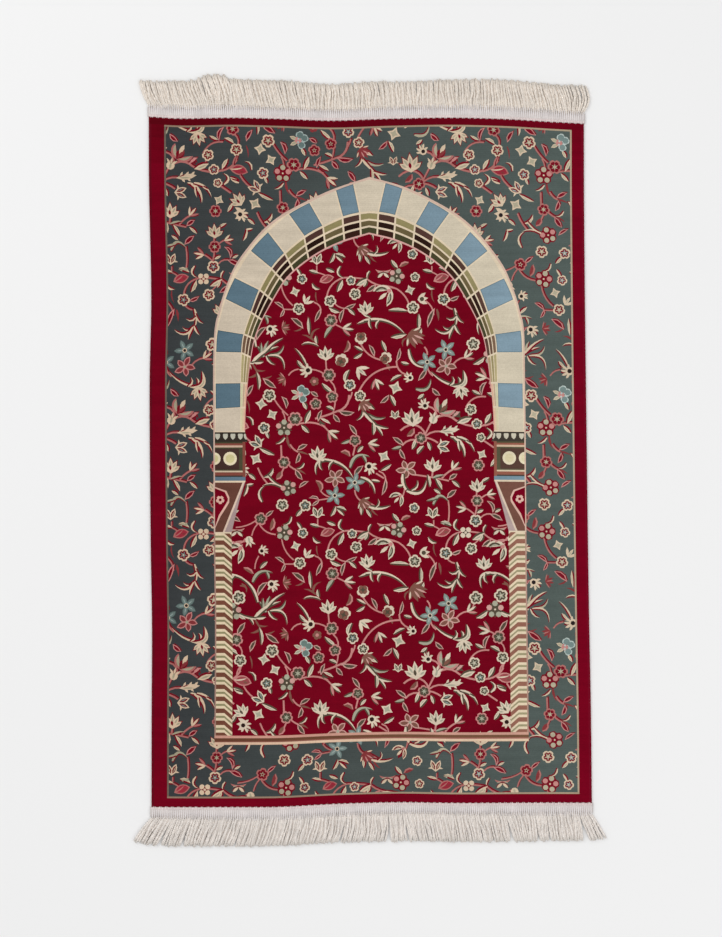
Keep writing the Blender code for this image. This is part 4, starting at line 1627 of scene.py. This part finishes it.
# %% [markdown]
# ## Heading tape
# The tape is woven cotton, 16 mm deep. One outline of its section is swept along the end of the
# cloth, point by point, because both its edges must follow the cloth's bow exactly. It runs 2 mm
# past each selvedge, where the cut ends were turned in.

# %% Tape
TAPE_OVERHANG = 2.0 * MM
TAPE_STEPS = 160
TAPE_SECTION = (
    # out from the cloth mm, height mm
    (0.3, 0.1), (0.2, 1.6), (0.8, 2.5), (4.0, 2.7), (8.0, 2.75), (12.0, 2.65), (15.0, 2.35),
    (15.9, 1.5), (15.7, 0.1), (8.0, 0.0),
)


def sweep_tape(name, end, material):
    """The tape's section swept along one end of the cloth."""
    points, faces = [], []
    size = len(TAPE_SECTION)
    overhang = TAPE_OVERHANG / CLOTH_WIDTH
    for step in range(TAPE_STEPS + 1):
        across = -overhang + (1 + 2 * overhang) * step / TAPE_STEPS
        wave = 0.12 * MM * math.sin(step * 0.9) + 0.1 * MM * math.sin(step * 0.37)
        for out, height in TAPE_SECTION:
            x, y = along_end(end, min(max(across, 0), 1), out * MM)
            x += (across - min(max(across, 0), 1)) * CLOTH_WIDTH
            rise = wave if 0.2 < height else 0.0
            points.append((x, y, height * MM + abs(rise)))
    for step in range(TAPE_STEPS):
        for i in range(size):
            j = (i + 1) % size
            near, far = step * size, (step + 1) * size
            faces.append((near + i, near + j, far + j, far + i)[::-end])
    faces.append(tuple(range(size))[::end])
    faces.append(tuple(range(TAPE_STEPS * size, (TAPE_STEPS + 1) * size))[::-end])
    tape = add_piece(name, points, faces)
    tape.data.materials.append(material)
    print(name, len(faces), "faces")
    return tape


# %% [markdown]
# ## Cotton, as a material
# The tape is bleached and the cords are natural cotton, spun and plied. Cotton is matt and full
# of short fibres: rough, with some sheen, and no clear highlight. A soft noise at the scale of
# the fibres keeps the white from looking like plastic, and a broader one varies it a little
# along the trim. The cords darken towards their cut tips, and the cords
# of the foot are a slightly greyer lot.

# %% Cotton tape and cotton cord
FIBRE_SIZE = 1.3 * MM
PATCH_SIZE = 14 * MM


def spun_cotton(name, colour, tip_colour):
    """Matt cotton with fibre noise, broad patches and darker tips."""
    material, tree, shader = new_material(name, 0.88, 0.2, 0.15, colour)
    where = add_node(tree, "ShaderNodeTexCoord")
    fibres = add_node(tree, "ShaderNodeTexNoise", {
        "Vector": where.outputs["Object"], "Scale": 1 / FIBRE_SIZE, "Detail": 3.0})
    patches = add_node(tree, "ShaderNodeTexNoise", {
        "Vector": where.outputs["Object"], "Scale": 1 / PATCH_SIZE, "Detail": 2.0})
    along = add_node(tree, "ShaderNodeAttribute", attribute_name="along")
    # Darker towards the cords' cut tips, over the last fifth of their length
    tip_darkening = add_node(tree, "ShaderNodeMapRange", {
        "Value": along.outputs["Fac"], "From Min": 0.8, "From Max": 1.0, "To Max": 0.8})
    mix = add_node(tree, "ShaderNodeMix", {
        "Factor": tip_darkening.outputs["Result"], "A": (*linear(colour), 1), "B": (*linear(tip_colour), 1)},
        data_type="RGBA")
    shade = brighten(tree, mix.outputs[2], fibres.outputs["Fac"], 0.90, 1.08)
    shade = brighten(tree, shade, patches.outputs["Fac"], 0.93, 1.05)
    tree.links.new(shade, shader.inputs["Base Color"])
    fuzz = add_node(tree, "ShaderNodeBump", {
        "Height": fibres.outputs["Fac"], "Strength": 0.4, "Distance": 0.2 * MM})
    tree.links.new(fuzz.outputs["Normal"], shader.inputs["Normal"])
    return material


cotton_tape = spun_cotton("cotton_tape_bleached_woven", "#d5cdca", "#d5cdca")
cotton_thread = spun_cotton("cotton_thread_bleached_rib", "#e6e0df", "#e6e0df")
cotton_stitch = spun_cotton("cotton_thread_overlock_blush_white", "#ecdcda", "#ecdcda")
cotton_cord = spun_cotton("cotton_cord_natural_plied", "#f4eadf", "#d8cfc4")
cotton_cord_foot = spun_cotton("cotton_cord_natural_plied_rinsed", "#f3ebe4", "#d9d2ca")
print("materials:", woven.name, cotton_tape.name, cotton_cord.name)

# %% [markdown]
# ## Ribs and stitches with Geometry Nodes
# The tape shows fine ribs across it, where the cords are looped through. The seam is overlocked:
# its threads bite into the crimson edge in small shells, four threads to a shell. Both are one
# short thread set down again and again, so one node tree does both. It takes a cloud of points,
# puts a thread on each, and reads each thread's turn and size from the points.

# %% Starting and ending a tree
def node_tree(name, sockets):
    """A geometry node tree with named inputs, and its group input."""
    tree = bpy.data.node_groups.new(name, "GeometryNodeTree")
    for label, kind in (("Geometry", "NodeSocketGeometry"), *sockets, ("Material", "NodeSocketMaterial")):
        tree.interface.new_socket(label, in_out="INPUT", socket_type=kind)
    tree.interface.new_socket("Geometry", in_out="OUTPUT", socket_type="NodeSocketGeometry")
    return tree, tree.nodes.new("NodeGroupInput")


def end_tree(tree, given, geometry):
    """End a tree with real, smooth geometry in its material."""
    real = add_node(tree, "GeometryNodeRealizeInstances", {"Geometry": geometry})
    smooth = add_node(tree, "GeometryNodeSetShadeSmooth", {"Geometry": real.outputs[0]})
    dressed = add_node(tree, "GeometryNodeSetMaterial", {
        "Geometry": smooth.outputs[0], "Material": given.outputs["Material"]})
    add_node(tree, "NodeGroupOutput", {0: dressed.outputs[0]})
    print(tree.name, "has", len(tree.nodes), "nodes")


def named(tree, name, data_type="FLOAT"):
    """The socket that reads an attribute of the points."""
    reader = add_node(tree, "GeometryNodeInputNamedAttribute", {"Name": name}, data_type=data_type)
    return reader.outputs["Attribute"]


# %% A tree that sets a thread on every point
threads_tree, given = node_tree("threads_on_points", (
    ("Thread Width", "NodeSocketFloat"),
    ("Unevenness", "NodeSocketFloat"),
    ("Seed", "NodeSocketInt"),
))
bead = add_node(threads_tree, "GeometryNodeMeshUVSphere", {"Segments": 6, "Rings": 6, "Radius": 1.0})
low = add_node(threads_tree, "ShaderNodeMath", {0: 1.0, 1: given.outputs["Unevenness"]},
               operation="SUBTRACT")
high = add_node(threads_tree, "ShaderNodeMath", {0: 1.0, 1: given.outputs["Unevenness"]},
                operation="ADD")
chance = add_node(threads_tree, "FunctionNodeRandomValue", {
    2: low.outputs[0], 3: high.outputs[0], "Seed": given.outputs["Seed"]}, data_type="FLOAT")
width = add_node(threads_tree, "ShaderNodeMath", {
    0: given.outputs["Thread Width"], 1: chance.outputs[1]}, operation="MULTIPLY")
size = add_node(threads_tree, "ShaderNodeCombineXYZ", {
    "X": width.outputs[0], "Y": named(threads_tree, "half_length"), "Z": named(threads_tree, "rise")})
turn = add_node(threads_tree, "ShaderNodeCombineXYZ", {
    "X": named(threads_tree, "tilt"), "Z": named(threads_tree, "turn")})
rotation = add_node(threads_tree, "FunctionNodeEulerToRotation", {"Euler": turn.outputs[0]})
set_down = add_node(threads_tree, "GeometryNodeInstanceOnPoints", {
    "Points": given.outputs["Geometry"], "Instance": bead.outputs["Mesh"],
    "Rotation": rotation.outputs[0], "Scale": size.outputs[0]})
end_tree(threads_tree, given, set_down.outputs[0])

# %% Running a tree
def grow(name, tree, points, edges, attributes, inputs):
    """Run a tree on guide points and keep its result as a plain mesh object."""
    guide = bpy.data.meshes.new(name + "_guide")
    guide.from_pydata(points, edges, [])
    for label, values in attributes.items():
        guide.attributes.new(label, "FLOAT", "POINT").data.foreach_set("value", values)
    carrier = link_piece(name + "_guide", guide)
    maker = carrier.modifiers.new("maker", "NODES")
    maker.node_group = tree
    for item in tree.interface.items_tree:
        if item.in_out == "INPUT" and item.name in inputs:
            maker[item.identifier] = inputs[item.name]
    depsgraph = bpy.context.evaluated_depsgraph_get()
    made = bpy.data.meshes.new_from_object(carrier.evaluated_get(depsgraph))
    made.name = name
    bpy.data.objects.remove(carrier)
    print(name, len(made.polygons), "faces")
    return link_piece(name, made)


# %% [markdown]
# ## Plied cords with Geometry Nodes
# Each cord is two yarns laid round each other. A section with two lobes, swept along the cord's
# path and turned as it goes, gives that twist with few faces. The tree turns guide lines into
# curves, tilts them by their length, and sweeps the section. A second row of cords lies over the
# first, half a step to the side, because two leave the tape through each loop. A few loose ones
# lie on top.

# %% A tree that plies a cord along every guide line
cords_tree, given = node_tree("plied_cords", (
    ("Cord Radius", "NodeSocketFloat"),
    ("Lobe Depth", "NodeSocketFloat"),
    ("Turns Per Metre", "NodeSocketFloat"),
))
lines = add_node(cords_tree, "GeometryNodeMeshToCurve", {"Mesh": given.outputs["Geometry"]})
way = add_node(cords_tree, "GeometryNodeSplineParameter")
twist = add_node(cords_tree, "ShaderNodeMath", {
    0: way.outputs["Length"], 1: given.outputs["Turns Per Metre"]}, operation="MULTIPLY")
angle = add_node(cords_tree, "ShaderNodeMath", {
    0: twist.outputs[0], 1: 2 * math.pi, 2: named(cords_tree, "phase")}, operation="MULTIPLY_ADD")
tilted = add_node(cords_tree, "GeometryNodeSetCurveTilt", {
    "Curve": lines.outputs[0], "Tilt": angle.outputs[0]})
section = add_node(cords_tree, "GeometryNodeCurvePrimitiveCircle", {
    "Resolution": 8, "Radius": given.outputs["Cord Radius"]})
spot = add_node(cords_tree, "GeometryNodeInputPosition")
parts = add_node(cords_tree, "ShaderNodeSeparateXYZ", {"Vector": spot.outputs[0]})
around = add_node(cords_tree, "ShaderNodeMath", {0: parts.outputs["Y"], 1: parts.outputs["X"]},
                  operation="ARCTAN2")
double = add_node(cords_tree, "ShaderNodeMath", {0: around.outputs[0], 1: 2.0}, operation="MULTIPLY")
wave = add_node(cords_tree, "ShaderNodeMath", {0: double.outputs[0]}, operation="COSINE")
swell = add_node(cords_tree, "ShaderNodeMath", {
    0: wave.outputs[0], 1: given.outputs["Lobe Depth"], 2: 1.0}, operation="MULTIPLY_ADD")
lobed_spot = add_node(cords_tree, "ShaderNodeVectorMath", {0: spot.outputs[0], "Scale": swell.outputs[0]},
                      operation="SCALE")
lobes = add_node(cords_tree, "GeometryNodeSetPosition", {
    "Geometry": section.outputs["Curve"], "Position": lobed_spot.outputs["Vector"]})
swept = add_node(cords_tree, "GeometryNodeCurveToMesh", {
    "Curve": tilted.outputs[0], "Profile Curve": lobes.outputs[0],
    "Scale": named(cords_tree, "girth"), "Fill Caps": True})
end_tree(cords_tree, given, swept.outputs[0])

# %% The cords of one end
CORD_RADIUS = 2.2 * MM
LOBE_DEPTH = 0.16
CORD_RINGS = 18
CORD_TURNS = 1 / (17 * MM)
LOOSE_EVERY = 2.1
# For the lower row, the upper row and the loose cords: sideways wander and rise, in mm
WANDER = (1.0, 2.0, 4.5)
RISE = (0.0, 1.6, 3.4)
# Shares of a cord: tucked in under the tape, more or less in length, and more or less in girth
TUCK = 0.04
LENGTH_SPREAD = 0.035
GIRTH_SPREAD = 0.08


def uneven(number, turn):
    """A steady but irregular value from -1 to 1 for a number."""
    return math.sin(number * turn) * math.cos(number * turn * 0.37 + 1.3)


def plait_cords(name, end, sway, partings, material):
    """The full rows of cords and the loose ones on top, along one end."""
    points, edges = [], []
    attributes = {"girth": [], "phase": [], "along": []}
    cords = [(number + shift, level) for level, shift in enumerate((0.0, 0.5))
             for number in range(STRANDS_PER_END - level)]
    loose = 1.3
    while loose < STRANDS_PER_END - 2:
        if all(abs(loose / STRANDS_PER_END - spot) > 0.01 for spot, width in partings if width > 2):
            cords.append((loose, 2))
        loose += LOOSE_EVERY + 0.6 * uneven(loose, 2.3)
    for number, level in cords:
        wander = uneven(number, 3.1) * WANDER[level] * MM
        curl = uneven(number, 5.7) * WANDER[level] * 0.45 * MM
        trim = 1 + LENGTH_SPREAD * uneven(number, 7.3)
        for step in range(CORD_RINGS + 1):
            share = (-TUCK + (1 + TUCK) * step / CORD_RINGS) * trim
            x, y = strand_point(number, sway, partings, end, share)
            ahead = max(share, 0)
            x += wander * ahead ** 1.4 + curl * math.sin(2.2 * math.pi * ahead)
            girth = 1 - GIRTH_SPREAD + GIRTH_SPREAD * uneven(number, 4.1)
            girth *= min(1, 0.62 + 2.5 * ahead) - 0.3 * max(0, ahead - 0.93) / 0.07
            height = CORD_RADIUS * (1 + LOBE_DEPTH) * girth
            height += 0.4 * MM * ahead * abs(uneven(number + 4 * ahead, 1.7))
            height += RISE[level] * MM * math.sin(math.pi * min(1, 0.95 * ahead)) ** 0.6
            points.append((x, y, height))
            attributes["girth"].append(girth)
            attributes["phase"].append(2.4 * number)
            attributes["along"].append(ahead)
            if step:
                edges.append((len(points) - 2, len(points) - 1))
    return grow(name, cords_tree, points, edges, attributes, {
        "Cord Radius": CORD_RADIUS, "Lobe Depth": LOBE_DEPTH, "Turns Per Metre": CORD_TURNS,
        "Material": material})


print("a cord is", round(2 * CORD_RADIUS / MM, 1), "mm thick and turns once in",
      round(1 / CORD_TURNS / MM), "mm")

# %% The ribs and stitches of one end
RIB_PITCH = 3.3 * MM
RIB_START = 2.5 * MM
RIB_REACH = 21.0 * MM
RIB_HEIGHT = 3.3 * MM
RIB_RISE = 1.0 * MM
RIB_TILT = 0.11
SHELL_WIDTH = 9.4 * MM
SHELL_BITE = 2.2 * MM
SHELL_REACH = 4.2 * MM
SHELL_HEIGHT = 2.95 * MM
SHELL_RISE = 0.8 * MM
THREADS_PER_SHELL = 4
THREAD_WIDTH = 1.05 * MM


def lay_threads(name, end, rows, material):
    """Short threads across the trim: for each its share across, how far out, and its shape."""
    points = []
    attributes = {"half_length": [], "rise": [], "turn": [], "tilt": []}
    for across, out, height, *shape in rows:
        x, y = along_end(end, across, out)
        points.append((x, y, height))
        for label, value in zip(attributes, shape):
            attributes[label].append(value)
    return grow(name, threads_tree, points, [], attributes, {
        "Thread Width": THREAD_WIDTH, "Unevenness": 0.15, "Seed": 7, "Material": material})


def rib_rows(end):
    """The ribs across the tape, which rise at their outer ends onto the cords."""
    ribs = round(CLOTH_WIDTH / RIB_PITCH)
    for rib in range(ribs):
        across = (rib + 0.5) / ribs
        reach = RIB_REACH + 1.6 * MM * uneven(rib, 2.7) + 1.8 * MM * math.sin(9 * across + end)
        yield (across, (RIB_START + reach) / 2, RIB_HEIGHT, (reach - RIB_START) / 2,
               RIB_RISE, 0.06 * uneven(rib, 1.9), end * RIB_TILT)


def shell_rows(end):
    """The overlock stitches that bite into the cloth in small shells."""
    count_all = round(CLOTH_WIDTH / SHELL_WIDTH) * THREADS_PER_SHELL
    for count in range(count_all):
        in_shell = (count % THREADS_PER_SHELL + 0.5) / THREADS_PER_SHELL
        bite = SHELL_BITE * math.sin(math.pi * in_shell) - 0.6 * MM
        bite *= 1 + 0.15 * uneven(count, 2.9)
        yield ((count + 0.5) / count_all, (SHELL_REACH - bite) / 2, SHELL_HEIGHT,
               (SHELL_REACH + bite) / 2, SHELL_RISE, (in_shell - 0.5) * 0.35 * end, 0.0)


print("ribs and stitches an end:", len(list(rib_rows(HEAD_END))), len(list(shell_rows(HEAD_END))))

# %% Both trims
trims = []
for node, end, sway, partings, cord in (
    ("fringe_head", HEAD_END, HEAD_SWAY, HEAD_PARTINGS, cotton_cord),
    ("fringe_foot", FOOT_END, FOOT_SWAY, FOOT_PARTINGS, cotton_cord_foot),
):
    trims.append((sweep_tape(node + "_tape", end, cotton_tape), node))
    trims.append((plait_cords(node + "_cords", end, sway, partings, cord), node))
    trims.append((lay_threads(node + "_ribs", end, rib_rows(end), cotton_thread), node))
    trims.append((lay_threads(node + "_stitches", end, shell_rows(end), cotton_stitch), node))
print("pieces in the trims:", len(trims))

# %% [markdown]
# ## Floor, light and camera
# The rug was photographed from straight above on a pale ground in flat, soft light. So the stage
# is a plain pale floor, an even pale surround and two large soft lights, a little stronger from
# the upper left, which lets the creases and cords cast faint shadows. The camera has a long lens
# and hangs high, so that it sees almost nothing of the rug's sides.

# %% Floor and surround
# Just under the rug, so that floor and rug don't fight for the same height
FLOOR_HEIGHT = -0.2 * MM
SURROUND_STRENGTH = 0.78

floor = add_piece(
    "pale_floor", [(x, y, FLOOR_HEIGHT) for x, y in ((-4, -4), (4, -4), (4, 4), (-4, 4))],
    [(0, 1, 2, 3)])
floor.data.materials.append(new_material("pale_matt_floor", 0.9, 0.2, 0.0, "#f2f2f2")[0])
floor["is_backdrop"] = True

world = bpy.data.worlds.new("soft_surround")
world.use_nodes = True
surround = world.node_tree.nodes["Background"]
surround.inputs["Color"].default_value = (1, 1, 1, 1)
surround.inputs["Strength"].default_value = SURROUND_STRENGTH
bpy.context.scene.world = world
print("floor at", round(FLOOR_HEIGHT / MM, 2), "mm")

# %% Lights and camera
# The picture is 722 squares across and 937 down
PICTURE_HEIGHT = 937 * SQUARE
CAMERA_MIDDLE = (-13.6 * MM, -10.4 * MM)
LENS_MM, SENSOR_MM = 85.0, 36.0
CAMERA_RISE = PICTURE_HEIGHT * LENS_MM / SENSOR_MM


def soft_light(name, spot, size, power):
    """A large square light that looks at the middle of the rug."""
    light = bpy.data.lights.new(name, "AREA")
    light.size = size
    light.energy = power
    lamp = link_piece(name, light)
    lamp.location = spot
    lamp.rotation_euler = (-lamp.location).to_track_quat("-Z", "Y").to_euler()


soft_light("soft_light_upper_left", (-2.2, 2.0, 2.6), 1.6, 28)
soft_light("soft_light_lower_right", (2.4, -1.8, 3.0), 2.4, 27)

long_lens = bpy.data.cameras.new("camera_above")
long_lens.lens = LENS_MM
long_lens.sensor_width = SENSOR_MM
long_lens.sensor_fit = "AUTO"
long_lens.clip_end = 50
camera = link_piece("camera_above", long_lens)
camera.location = (*CAMERA_MIDDLE, CAMERA_RISE)
bpy.context.scene.camera = camera
bpy.context.scene.view_settings.view_transform = "Standard"
print("camera", round(CAMERA_RISE, 2), "m above the floor")

# %% [markdown]
# ## Tying each piece to its body
# Last, every piece is tied to the imported body that it rides on, and the CAD part that it stands
# for is hidden.

# %% Ride and replace
for piece, node, finish in (
    (rug, "rug_cloth", "woven_pile"),
    *[(piece, node, "cotton_fringe") for piece, node in trims],
):
    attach(piece, "root")
    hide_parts(node)

visual_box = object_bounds()
str([[list(corner) for corner in box] for box in (cad_box, visual_box)])
print("CAD box:", [list(corner) for corner in cad_box])
print("visual box:", [list(corner) for corner in visual_box])
